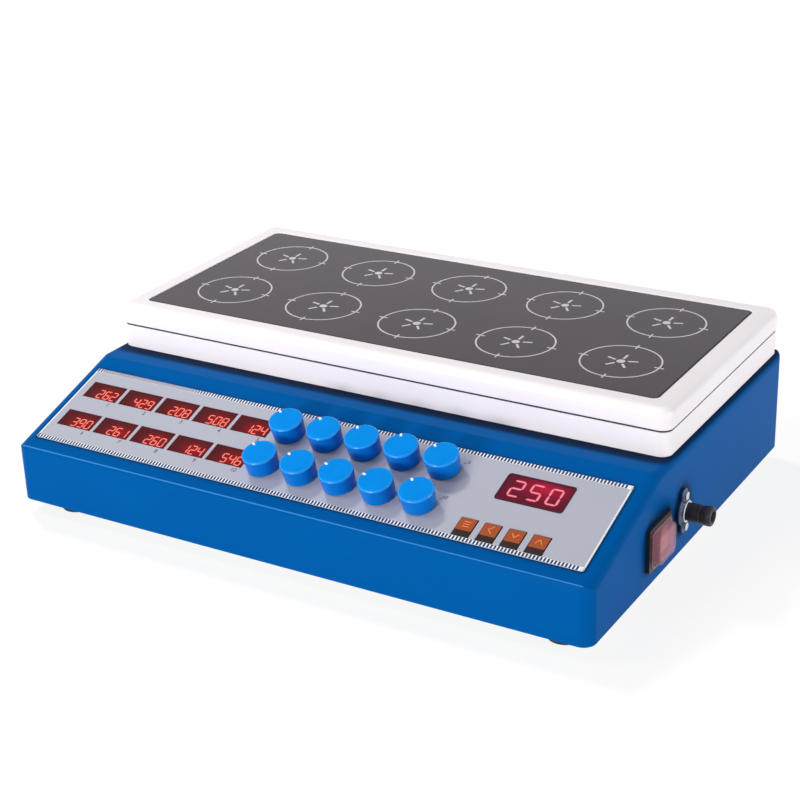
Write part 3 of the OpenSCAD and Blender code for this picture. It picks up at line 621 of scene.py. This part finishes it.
class STIRRER_OT_overlay(Operator):
    """Print the panel overlay: ground, barred border and plain numbers"""

    bl_idname = "stirrer.overlay"
    bl_label = "Panel Overlay"

    def execute(self, context):
        colours, sizes = context.scene.stirrer_finishes, context.scene.stirrer_panel
        ground = finish(
            "Overlay ground", colours.overlay, shade=0.02, cloud=14, rough=(0.42, 0.55),
            grain=2400, relief=0.006, shine=0.15,
        )
        dress("panel_overlay", ground)
        self.print_border(colours, sizes)
        self.print_numbers(colours, sizes)
        return {"FINISHED"}

    def print_border(self, colours, sizes):
        """Light strip round the overlay, with dark bars along its two long edges."""
        light = ink("Border light", colours.border_light, shade=0.02, rough=(0.4, 0.5))
        dark = ink("Border dark", colours.border_dark, rough=(0.4, 0.5))
        top, start = sizes.overlay_t, sizes.overlay_s
        (width, height), (pitch, bar_h) = sizes.overlay, sizes.tooth
        film, rim, inset, first_bar = mm(0.05, 1, 0.2, 1.5)
        half, bar_w = width / 2 - inset, pitch * 0.54
        low, high = start + inset, start + height - inset
        bm = bmesh.new()
        for s, away in ((low, 1), (high, -1)):
            below, above = sorted((s, s + away * bar_h))
            prism(bm, rectangle(-half, below, half, above), top - film, top + film)
            bar_end = s + away * (bar_h - inset)
            for i in range(int((width - 2 * first_bar) / pitch)):
                u = -half + first_bar + i * pitch
                prism(bm, bar((u, s), (u, bar_end), bar_w), top, top + 2 * film, index=1)
        for u in (-half, half - rim):
            prism(bm, rectangle(u, low, u + rim, high), top - film, top + film)
        piece("overlay_border", bm, UNIT, [light, dark], PANEL)

    def print_numbers(self, colours, sizes):
        """Number under each display, and number with a tick beside each knob."""
        top = sizes.overlay_t
        aside, below = 11.2 * MM, sizes.window[1] / 2 + 3.6 * MM
        knob_aside, knob_above, tick_start, tick_end, tick_w = mm(13.4, 11.2, 13.2, 15, 0.5)
        tick_across, tick_up = 0.766, 0.643
        bm = bmesh.new()
        for k, joint in enumerate(knob_joints):
            number = str(k + 1)
            u, s = window_place(sizes, k)
            print_number(bm, number, u + aside, s - below, sizes.label_h, top)
            u, s, _ = knob_place(joint)
            print_number(bm, number, u + knob_aside, s + knob_above, sizes.label_h * 0.8, top)
            ends = [(u + r * tick_across, s + r * tick_up) for r in (tick_start, tick_end)]
            prism(bm, bar(*ends, tick_w), top - 0.02 * MM, top + 0.06 * MM)
        piece("overlay_numbers", bm, UNIT, [ink("Number ink", colours.lettering)], PANEL)


class STIRRER_OT_displays(Operator):
    """Finish the display lenses and light their numbers"""

    bl_idname = "stirrer.displays"
    bl_label = "Displays"

    readings: StringProperty(
        name="Readings", description="Speeds shown, left to right, the back row first",
        default="262 429 208 508 124 390 261 260 124 546",
    )
    warm_reading: StringProperty(name="Temperature", description="Temperature shown", default="250")

    def execute(self, context):
        colours, sizes = context.scene.stirrer_finishes, context.scene.stirrer_panel
        face = sizes.overlay_t - 0.1 * MM
        self.light_speeds(colours, sizes, face)
        self.light_temperature(colours, sizes, face)
        return {"FINISHED"}

    def light_speeds(self, colours, sizes, face):
        """Ten filters with their speeds and the glow about them."""
        rough = (0.1, 0.16)
        dress("display_windows", red_filter("Speed lens", colours.lens, rough))
        glow = lit("Lit segment", colours.digit, 0.12, 400)
        core = lit("Segment core", colours.digit_core, 0.1, 400)
        aside, below, stroke, margin, corner = mm(4, 2.8, 1.25, 0.4, 0.3)
        window = outline(*(size - margin for size in sizes.window), corner)
        bm, patches = bmesh.new(), bmesh.new()
        for k, text in enumerate(self.readings.split()):
            u, s = window_place(sizes, k)
            middle = (u + aside, s - below)
            lit_number(bm, text, *middle, face, *sizes.digit, sizes.digit_pitch, stroke)
            glow_patch(patches, moved(window, u, s), face, middle, reach=mm(19, 13))
        piece("speed_digits", bm, UNIT, [glow, core], PANEL)
        lit_lens = red_filter("Lit speed lens", colours.lens, rough)
        spread_glow(lit_lens, colours.glow)
        piece("speed_glow", patches, UNIT, [lit_lens], PANEL)

    def light_temperature(self, colours, sizes, face):
        """Filter with its rim, the temperature and the glow about it."""
        rough = (0.06, 0.12)
        dress("temperature_window", red_filter("Temperature lens", colours.warm_lens, rough))
        (u, s), (w, h) = sizes.warm_place, sizes.warm_window

        rim = plastic("Display rim", screen(64, 20, 50), rough=(0.3, 0.45), shine=0.15)
        outer = outline(w + 1.4 * MM, h + 1.4 * MM, 2.4 * MM)
        inner = outline(w - 1 * MM, h - 1 * MM, 1.6 * MM)
        bm = bmesh.new()
        hoop(bm, outer, inner, *mm(-0.3, 0.12))
        place = PANEL @ Matrix.Translation((u, s, sizes.overlay_t))
        piece("temperature_rim", bm, UNIT, [rim], place)

        ember = lit("Temperature segment", screen(226, 60, 92), 0.2, 160)
        core = lit("Temperature core", screen(240, 150, 170), 0.1, 200)
        digit_h, stroke = sizes.warm_digit_h, 2 * MM
        digit_w, pitch = digit_h * 0.55, digit_h * 0.98
        bm = bmesh.new()
        lit_number(bm, self.warm_reading, u, s, face, digit_w, digit_h, pitch, stroke)
        piece("temperature_digits", bm, UNIT, [ember, core], PANEL)

        bm = bmesh.new()
        glow_patch(bm, moved(inner, u, s), face, middle=(u + 5 * MM, s + 5 * MM), reach=mm(30, 15))
        lit_lens = red_filter("Lit temperature lens", colours.warm_lens, rough)
        spread_glow(lit_lens, screen(214, 14, 62))
        piece("temperature_glow", bm, UNIT, [lit_lens], PANEL)


class STIRRER_OT_knobs(Operator):
    """Turn the ten speed knobs, each with a white pointer over its rim"""

    bl_idname = "stirrer.knobs"
    bl_label = "Speed Knobs"

    def execute(self, context):
        colours, sizes = context.scene.stirrer_finishes, context.scene.stirrer_panel
        azure = plastic("Azure plastic", colours.knob, rough=(0.2, 0.28), shine=0.04)
        bright = plastic("Azure rim", colours.knob, rough=(0.16, 0.24), shine=0.4)
        white = plastic("Pointer white", colours.pointer, rough=(0.4, 0.5))
        # Painted shade: the skirt takes the darker, shaded copy of the knob's blue.
        skirt = plastic("Shaded azure skirt", colours.shaded_knob_side, rough=(0.2, 0.28), shine=0.08)
        materials = [azure, skirt, screw_steel(), bright]
        on_skirt, on_shaft, on_rim = 1, 2, 3
        (radius, foot), (low, top), edge = sizes.knob_r, sizes.knob_ends, sizes.knob_edge
        soft, shaft_r = mm(0.8, 3)
        corner = quarter(8)
        profile = [(foot - soft + soft * sin(a), low + soft - soft * cos(a)) for a in corner]
        rounding = [(radius - edge + edge * cos(a), top - edge + edge * sin(a)) for a in corner]
        profile.append(rounding[0])
        rim, crown = rounding[:8], rounding[7:] + [(radius * 0.5, top)]
        shaft = [(shaft_r, low - 4 * MM), (shaft_r, low + 0.1 * MM)]
        pointer = self.pointer_rows(radius, edge, top, corner)
        for joint in knob_joints:
            name = joint["child"]
            place = knob_place(joint)
            rest = -radians(sum(joint["range_deg"]) / 2)
            matrix = PANEL @ Matrix.Translation((place.x, place.y, 0)) @ Matrix.Rotation(rest, 4, "Z")
            bm = bmesh.new()
            turned(bm, profile, index=on_skirt)
            turned(bm, rim, index=on_rim)
            turned(bm, crown)
            turned(bm, shaft, steps=32, index=on_shaft)
            piece(f"{name}_cap", bm, name, materials, matrix, stands_for=name)
            bm = bmesh.new()
            skin(bm, pointer)
            piece(f"{name}_pointer", bm, name, [white], matrix)
        return {"FINISHED"}

    def pointer_rows(self, radius, edge, top, corner):
        """Cross sections of the pointer, which runs over the knob's top and down its rim."""
        start, half, film = mm(8.8, 0.75, 0.06)
        path = [(start, top), (radius - edge, top)]
        path += [(radius - edge + edge * sin(a), top - edge + edge * cos(a)) for a in corner[1:]]
        rows = []
        for r, z in path:
            out = Vector((0, max(0, r - radius + edge), max(0, z - top + edge))).normalized() * film
            rows.append([(x * half, r + out.y * up, z + out.z * up) for up in (-1, 1) for x in (-up, up)])
        return rows


class STIRRER_OT_keys(Operator):
    """Make the four keys with their coloured faces and signs"""

    bl_idname = "stirrer.keys"
    bl_label = "Keys"

    def execute(self, context):
        colours, sizes = context.scene.stirrer_finishes, context.scene.stirrer_panel
        materials = [
            plastic("Key base", colours.key_base, rough=(0.35, 0.5), shine=0.12),
            plastic("Key face", colours.key, rough=(0.3, 0.45), shine=0.12),
            plastic("Key sign", colours.key_symbol, rough=(0.4, 0.5)),
        ]
        (w, h), top = sizes.key, sizes.key_top
        corner, under, soft, edge, face_corner = mm(1.3, -0.6, 0.3, 0.45, 0.8)
        stroke, arm, drop = mm(0.6, 2.4, 3.1)
        band, middle, lines, tall = h * 0.28, h * 0.16, drop * 0.7, drop * 0.6
        signs = [
            [bar((-arm, middle + y), (arm, middle + y), stroke) for y in (-lines, 0, lines)],
            [bar((arm * 0.7, middle + y), (-arm * 0.7, middle), stroke) for y in (-drop, drop)],
            [bar((x, middle + tall), (0, middle - tall), stroke) for x in (-arm, arm)],
            [bar((x, middle - tall), (0, middle + tall), stroke) for x in (-arm, arm)],
        ]

        def cap(inset):
            return outline(w - 2 * inset, h - 2 * inset, corner - inset)

        face = moved(outline(w - 2 * edge, h - band - 2 * edge, face_corner), 0, band / 2)
        for k, strokes in enumerate(signs):
            name = f"key_{k + 1}"
            bm = bmesh.new()
            loft(bm, rounded_rings(cap, under, top, high_r=soft))
            prism(bm, face, top - 0.1 * MM, top + 0.02 * MM, index=1)
            for points in strokes:
                prism(bm, points, top, top + 0.04 * MM, index=2)
            u, s = sizes.keys_at
            place = PANEL @ Matrix.Translation((u + (k - 1.5) * sizes.key_pitch, s, 0))
            piece(f"{name}_cap", bm, name, materials, place, stands_for=name)
        return {"FINISHED"}


class STIRRER_OT_tray(Operator):
    """Coat the lower tray and make the upper frame with its soft edge"""

    bl_idname = "stirrer.tray"
    bl_label = "Tray and Frame"

    def execute(self, context):
        colours, sizes = context.scene.stirrer_finishes, context.scene.stirrer_plate
        enamel = finish(
            "White enamel", colours.enamel, shade=0.02, cloud=10, rough=(0.34, 0.46), grain=800,
            relief=0.015,
        )
        dress("lower_tray", enamel, edge=1)
        seal = finish("Seam gasket", screen(40, 38, 42), shade=0.08, rough=(0.6, 0.75), relief=0.03)
        dress("tray_gasket", seal)

        low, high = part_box("upper_frame")
        glass_low, glass_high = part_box("glass_plate")
        middle = (low.y + high.y) / 2
        glass_middle = (glass_low.y + glass_high.y) / 2
        width, depth = high.x - low.x, high.y - low.y
        recess_w = glass_high.x - glass_low.x + 2 * sizes.bead_w
        recess_d = glass_high.y - glass_low.y + 2 * sizes.bead_w
        (ledge_w, ledge_t), (edge_r, lip_r) = sizes.ledge, sizes.edge_r
        ledge, under = glass_low.z, glass_low.z - ledge_t
        corner, recess_r, pocket_r, opening_r, foot_r = mm(8.5, 4.5, 4, 9, 0.6)

        def outer(inset):
            return moved(outline(width - 2 * inset, depth - 2 * inset, corner - inset), 0, middle)

        def recess(grow, radius=recess_r):
            shape = outline(recess_w + 2 * grow, recess_d + 2 * grow, radius + grow)
            return moved(shape, 0, glass_middle)

        pocket = moved(outline(width - 2 * sizes.wall, depth - 2 * sizes.wall, pocket_r), 0, middle)
        opening = recess(-ledge_w, radius=opening_r)
        rings = [(pocket, low.z)]
        rings += rounded_rings(outer, low.z, high.z, low_r=foot_r, high_r=edge_r, steps=8)
        rings += [(recess(lip_r * (1 - sin(a))), high.z - lip_r * (1 - cos(a))) for a in quarter(5)]
        rings += [(recess(0), ledge), (opening, ledge), (opening, under), (pocket, under)]
        bm = bmesh.new()
        loft(bm, rings, loop=True)
        piece("frame_ring", bm, UNIT, [enamel], stands_for="upper_frame", sharp=50)
        return {"FINISHED"}


class STIRRER_OT_glass(Operator):
    """Polish the ceramic glass and print the ten stirring places on it"""

    bl_idname = "stirrer.glass"
    bl_label = "Glass Top"

    def execute(self, context):
        colours, sizes = context.scene.stirrer_finishes, context.scene.stirrer_plate
        glass = finish(
            "Ceramic glass", colours.glass, shade=0.15, cloud=14, rough=(0.03, 0.06), grain=220,
            relief=0.001, shine=0.23,
        )
        dress("glass_plate", glass, edge=0.5)
        bead = finish("Sealing bead", screen(40, 38, 42), shade=0.1, rough=(0.5, 0.65))
        dress("glass_bead", bead)

        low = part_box("glass_plate")[1].z
        high, tick_top = low + 0.05 * MM, low + 0.06 * MM
        line, tick = sizes.mark_line, sizes.tick
        inner, outer = disc(sizes.mark_r - line / 2, 96), disc(sizes.mark_r + line / 2, 96)
        dot = disc(sizes.dot_r, 32)
        bm = bmesh.new()
        for joint in spin_joints:
            x, y, _ = joint["pos_m"]
            hoop(bm, moved(outer, x, y), moved(inner, x, y), low, high)
            for i in range(4):
                points = spoke(i * pi / 2, sizes.mark_r - tick / 2, sizes.mark_r + tick / 2, line)
                prism(bm, moved(points, x, y), low, tick_top)
            prism(bm, moved(dot, x, y), low, high)
            for i in range(5):
                points = spoke(pi / 2 + i * 2 * pi / 5, *sizes.ray, line * 1.5)
                prism(bm, moved(points, x, y), low, high)
        mark = ink("Place mark print", colours.place_mark, grain=1500)
        piece("place_marks", bm, UNIT, [mark])
        return {"FINISHED"}


class STIRRER_OT_switch(Operator):
    """Finish the mains switch and form its clear boot"""

    bl_idname = "stirrer.switch"
    bl_label = "Mains Switch"

    def execute(self, context):
        colours = context.scene.stirrer_finishes
        dress("switch_body", black_moulding(), edge=0.5)
        red = plastic("Red rocker", colours.rocker, rough=(0.22, 0.32), Coat_Weight=0.3)
        dress("switch_rocker", red, edge=0.6)

        low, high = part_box("switch_boot")
        length, height, rise = high.y - low.y, high.z - low.z, high.x - low.x
        wall, rim, rim_t, rim_corner, dome_corner, draft, shoulder = mm(0.8, 1.5, 1, 4.5, 4, 1.2, 2)

        def dome(inset, taper):
            away = 2 * (rim + inset + taper)
            return outline(length - away, height - away, dome_corner - inset - taper * 0.5)

        def side(inset, start, end):
            """Rings up the dome: a slight draft, then a round shoulder."""
            rings = [(dome(inset, 0), start), (dome(inset, draft), end - shoulder)]
            for a in quarter(6)[1:]:
                taper = draft + shoulder * (1 - cos(a)) * 0.8
                rings.append((dome(inset, taper), end - shoulder * (1 - sin(a))))
            return rings

        skirt = outline(length, height, rim_corner)
        bm = bmesh.new()
        loft(bm, [(skirt, 0), (skirt, rim_t)] + side(0, rim_t, rise), caps=False)
        loft(bm, side(wall, 0, rise - wall)[::-1], caps=False)
        tops = [e for e in bm.edges if e.is_boundary and abs(e.verts[0].co.z) > 2 * rim_t]
        bmesh.ops.holes_fill(bm, edges=tops)
        bmesh.ops.bridge_loops(bm, edges=[e for e in bm.edges if e.is_boundary])
        clear = finish(
            "Clear boot", colours.boot, shade=0.02, rough=(0.1, 0.18), grain=500, relief=0.01,
            Alpha=0.3, shine=0.6,
        )
        place = side_place(low.x, (low, high))
        piece("switch_cover", bm, UNIT, [clear], place, stands_for="switch_boot")
        return {"FINISHED"}


class STIRRER_OT_connector(Operator):
    """Form the sensor socket with its collar, the coupling sleeve and the plug"""

    bl_idname = "stirrer.connector"
    bl_label = "Sensor Connector"

    def execute(self, context):
        sizes = context.scene.stirrer_connector
        dull = metal("Dull nickel", screen(58, 78, 110), rough=(0.26, 0.38))
        bright = metal("Bright nickel", screen(222, 222, 226), rough=(0.16, 0.28))
        black = plastic("Plug moulding", screen(40, 37, 44), rough=(0.38, 0.52), shine=0.3)
        gap, soft = sizes.running_gap, 0.4 * MM
        (flange_r, flange_t), (lobe_r, lobe_at) = sizes.flange, sizes.lobe
        (collar_r, collar_end), (barrel_r, barrel_end) = sizes.collar, sizes.barrel
        bore_r, bore_end = sizes.bore
        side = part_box("housing_shell")[1].x
        low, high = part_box("coupling_ring")
        place = side_place(side, (low, high))

        def flange(inset):
            return lobed(flange_r - inset, lobe_r - inset, lobe_at)

        hole = disc(barrel_r, 120)
        rings = rounded_rings(flange, 0, flange_t, high_r=soft) + [(hole, flange_t), (hole, 0)]
        bm = bmesh.new()
        loft(bm, rings, loop=True)
        turned(bm, [
            (barrel_r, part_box("sensor_socket")[0].x - side), (barrel_r, flange_t - soft),
            (collar_r, flange_t - soft), (collar_r, collar_end - soft),
            (collar_r - soft, collar_end), (barrel_r, collar_end),
            (barrel_r, barrel_end - soft), (barrel_r - soft, barrel_end),
            (bore_r, barrel_end), (bore_r, bore_end),
        ], steps=72, index=1)
        piece("socket_body", bm, UNIT, [dull, bright], place, stands_for="sensor_socket")

        # The sleeve has a groove before its outer rim.
        r, start, end = (high.y - low.y) / 2, low.x - side, high.x - side
        waist_r, groove_r, lip = r - 0.15 * MM, r - 0.5 * MM, end - sizes.sleeve_lip
        neck = bore_r + 0.2 * MM
        bm = bmesh.new()
        turned(bm, [
            (barrel_r + gap, start), (groove_r, start), (waist_r, start + soft),
            (waist_r, end - 2.4 * MM), (groove_r, end - 2.2 * MM), (groove_r, end - 1.8 * MM),
            (r, end - 1.6 * MM), (r, end - soft), (r - soft, end), (neck + gap, end),
            (neck + gap, lip), (barrel_r + gap, lip),
        ], steps=72, loop=True)
        ring = "coupling_ring"
        piece("coupling_sleeve", bm, ring, [black], place, stands_for=ring)

        # From its tip outwards, the plug has a pin, a head, a neck in the sleeve's lip and a barrel.
        plug_low, plug_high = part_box("sensor_plug")
        r, tip, last = (plug_high.y - plug_low.y) / 2, plug_low.x - side, plug_high.x - side
        pin, shoulder, body = bore_r - gap, barrel_end + gap, end + 0.4 * MM
        head_r, head_end, step_r, round_r = barrel_r - gap, shoulder + 1 * MM, r - 0.3 * MM, 1.5 * MM
        profile = [
            (pin - soft, tip), (pin, tip + soft), (pin, shoulder), (head_r, shoulder),
            (head_r, head_end), (neck, head_end), (neck, body), (step_r - soft, body),
            (step_r, body + soft), (step_r, body + 1.6 * MM), (r, body + 2.2 * MM),
        ]
        for a in quarter(6):
            profile.append((r - round_r + round_r * cos(a), last - round_r + round_r * sin(a)))
        profile += [(r * 0.62, last), (r * 0.55, last - 0.5 * MM), (r * 0.5, last - 3 * MM)]
        bm = bmesh.new()
        turned(bm, profile, steps=72)
        piece("plug_barrel", bm, "sensor_plug", [black], place, stands_for="sensor_plug")
        return {"FINISHED"}


class STIRRER_OT_inlet(Operator):
    """Finish the mains inlet on the back"""

    bl_idname = "stirrer.inlet"
    bl_label = "Mains Inlet"

    def execute(self, context):
        dress("mains_inlet", black_moulding(), edge=0.5)
        dress("inlet_pins", pin_brass(), edge=0.3)
        return {"FINISHED"}


class STIRRER_OT_inside(Operator):
    """Finish the pieces inside the housing and under the glass"""

    bl_idname = "stirrer.inside"
    bl_label = "Inner Pieces"

    def execute(self, context):
        board = finish(
            "Circuit board", screen(30, 104, 66), shade=0.15, cloud=240, rough=(0.3, 0.5), grain=600
        )
        fibre = finish(
            "Insulation fibre", screen(218, 210, 194), shade=0.1, cloud=120, rough=(0.8, 0.95),
            relief=0.2,
        )
        alloy = metal("Heater aluminium", screen(186, 188, 192), rough=(0.3, 0.5), stretch=(1, 8, 1))
        core = metal("Core steel", screen(112, 108, 104), rough=(0.4, 0.6), stretch=(12, 1, 1))
        small_steel = ("motor_screws", "tray_screws", "potentiometer_nuts", "temperature_sensor")
        for slot, material, nodes in (
            ("screw_steel", screw_steel(), small_steel),
            ("zinc_sheet", zinc_sheet(), ("motor_plate", "stir_motors", "potentiometers")),
            ("circuit_board", board, ("control_board", "power_board")),
            ("insulation", fibre, ("insulation_board",)),
            ("heater_aluminium", alloy, ("heater_plate",)),
            ("core_steel", core, ("transformer",)),
            ("brass", pin_brass(), ("hex_standoffs",)),
            ("black_plastic", black_moulding(), ("display_modules",)),
            ("plated_metal", zinc_sheet(), [joint["child"] for joint in spin_joints]),
        ):
            for node in nodes:
                dress(node, material)
        return {"FINISHED"}


class STIRRER_OT_stage(Operator):
    """Set the floor, the soft light and the camera"""

    bl_idname = "stirrer.stage"
    bl_label = "Stage"

    def execute(self, context):
        scene, sizes = context.scene, context.scene.stirrer_stage
        scene.view_settings.view_transform = "Standard"
        self.light_world(scene, sizes)
        self.lay_floor(scene, sizes)
        for name, place, size, watts in (
            ("Key lamp", sizes.key_place, (0.3, 0.3), sizes.key_power),
            ("Fill lamp", sizes.fill_place, (1, 1), sizes.fill_power),
            ("Side lamp", sizes.side_place, (1, 1), sizes.side_power),
            ("Edge lamp", sizes.edge_place, (0.7, 0.2), sizes.edge_power),
        ):
            data = bpy.data.lights.new(name, "AREA")
            data.shape, data.energy = "RECTANGLE", watts
            data.size, data.size_y = size
            lamp = bpy.data.objects.new(name, data)
            lamp.location = place
            lamp.rotation_euler = (-Vector(place)).to_track_quat("-Z", "Y").to_euler()
            lamp.visible_glossy = name != "Key lamp"
            scene.collection.objects.link(lamp)
        self.place_camera(scene, sizes)
        return {"FINISHED"}

    def show_apart(self, tree, shed, seen, output):
        """Lights the part by shed, and shows the camera seen, also mirrored or through the boot."""
        rays = tree.nodes.new("ShaderNodeLightPath").outputs
        factor = rays["Is Camera Ray"]
        for ray in ("Is Glossy Ray", "Is Transmission Ray"):
            either = {0: factor, 1: rays[ray]}
            node = add_node(tree, "ShaderNodeMath", sources=either, operation="MAXIMUM")
            factor = node.outputs["Value"]
        mix = add_node(tree, "ShaderNodeMixShader", sources={"Fac": factor, 1: shed, 2: seen})
        tree.links.new(mix.outputs["Shader"], tree.nodes[output].inputs["Surface"])

    def light_world(self, scene, sizes):
        """Soft light from all round, before a white backdrop."""
        scene.world = bpy.data.worlds.new("Studio")
        scene.world.use_nodes = True
        tree = scene.world.node_tree
        soft, white = (
            add_node(tree, "ShaderNodeBackground", {"Color": WHITE, "Strength": strength})
            for strength in (sizes.sky, 1)
        )
        tree.nodes.remove(tree.nodes["Background"])
        self.show_apart(tree, soft.outputs["Background"], white.outputs["Background"], "World Output")

    def lay_floor(self, scene, sizes):
        """Pale floor that the camera sees almost white, with a faint shadow on it."""
        half, parts, shadow_grey = 6, 8, 0.22
        bm = bmesh.new()
        bmesh.ops.create_grid(bm, x_segments=parts, y_segments=parts, size=half)
        mesh = bpy.data.meshes.new("floor")
        bm.to_mesh(mesh)
        bm.free()
        material = bpy.data.materials.new("Pale floor")
        material.use_nodes = True
        tree = material.node_tree
        tree.nodes.remove(tree.nodes["Principled BSDF"])
        matt, veil = (
            add_node(tree, "ShaderNodeBsdfDiffuse", {"Color": [*colour, 1]}).outputs["BSDF"]
            for colour in (sizes.floor, [shadow_grey] * 3)
        )
        white = add_node(tree, "ShaderNodeEmission", sources={"Strength": self.floor_level(tree)})
        seen = add_node(tree, "ShaderNodeAddShader", sources={0: veil, 1: white.outputs["Emission"]})
        self.show_apart(tree, matt, seen.outputs["Shader"], "Material Output")
        mesh.materials.append(material)
        floor = bpy.data.objects.new("floor", mesh)
        scene.collection.objects.link(floor)

    def floor_level(self, tree):
        """Light of the floor, which turns as white as the backdrop a few metres from the part."""
        reach, near_level, far_level = 4, 0.83, 0.97
        place = coordinates(tree, "Object")
        scale = add_node(tree, "ShaderNodeMapping", {"Scale": [1 / reach] * 3}, place)
        ball = {"Vector": scale.outputs["Vector"]}
        near = add_node(tree, "ShaderNodeTexGradient", sources=ball, gradient_type="SPHERICAL")
        return ranged(tree, near.outputs["Fac"], 0.3, 0.75, far_level, near_level)

    def place_camera(self, scene, sizes):
        """Camera at its place, turned by azimuth, elevation and roll."""
        data = bpy.data.cameras.new("Camera")
        data.lens = sizes.lens
        camera = bpy.data.objects.new("Camera", data)
        a, e, roll = sizes.azimuth, sizes.elevation, sizes.roll
        back = Vector((sin(a) * cos(e), -cos(a) * cos(e), sin(e)))
        level = Vector((cos(a), sin(a), 0))
        upright = back.cross(level)
        right = level * cos(roll) + upright * sin(roll)
        up = upright * cos(roll) - level * sin(roll)
        axes = Matrix((right, up, back)).transposed().to_4x4()
        camera.matrix_world = Matrix.Translation(sizes.camera_place) @ axes
        scene.collection.objects.link(camera)
        scene.camera = camera


PROPERTY_GROUPS = {
    "stirrer_finishes": STIRRER_PG_finishes,
    "stirrer_panel": STIRRER_PG_panel,
    "stirrer_plate": STIRRER_PG_plate,
    "stirrer_connector": STIRRER_PG_connector,
    "stirrer_stage": STIRRER_PG_stage,
}

OPERATORS = (
    STIRRER_OT_stage, STIRRER_OT_housing, STIRRER_OT_overlay, STIRRER_OT_displays, STIRRER_OT_knobs,
    STIRRER_OT_keys, STIRRER_OT_tray, STIRRER_OT_glass, STIRRER_OT_switch, STIRRER_OT_connector,
    STIRRER_OT_inlet, STIRRER_OT_inside,
)


class STIRRER_PT_dressing(Panel):
    """Lists the stirrer's pieces in the sidebar"""

    bl_label = "Hotplate Stirrer"
    bl_idname = "STIRRER_PT_dressing"
    bl_space_type = "VIEW_3D"
    bl_region_type = "UI"
    bl_category = "Stirrer"

    def draw(self, context):
        for operator in OPERATORS:
            self.layout.operator(operator.bl_idname)
        for name in PROPERTY_GROUPS:
            group = getattr(context.scene, name)
            column = self.layout.box().column()
            for prop in group.__annotations__:
                column.prop(group, prop)


CLASSES = (*PROPERTY_GROUPS.values(), *OPERATORS, STIRRER_PT_dressing)


def register():
    for cls in CLASSES:
        bpy.utils.register_class(cls)
    for name, group in PROPERTY_GROUPS.items():
        setattr(bpy.types.Scene, name, PointerProperty(type=group))


def unregister():
    for name in PROPERTY_GROUPS:
        delattr(bpy.types.Scene, name)
    for cls in reversed(CLASSES):
        bpy.utils.unregister_class(cls)


def main():
    register()
    for operator in OPERATORS:
        group, name = operator.bl_idname.split(".")
        getattr(getattr(bpy.ops, group), name)()


if __name__ == "__main__":
    main()
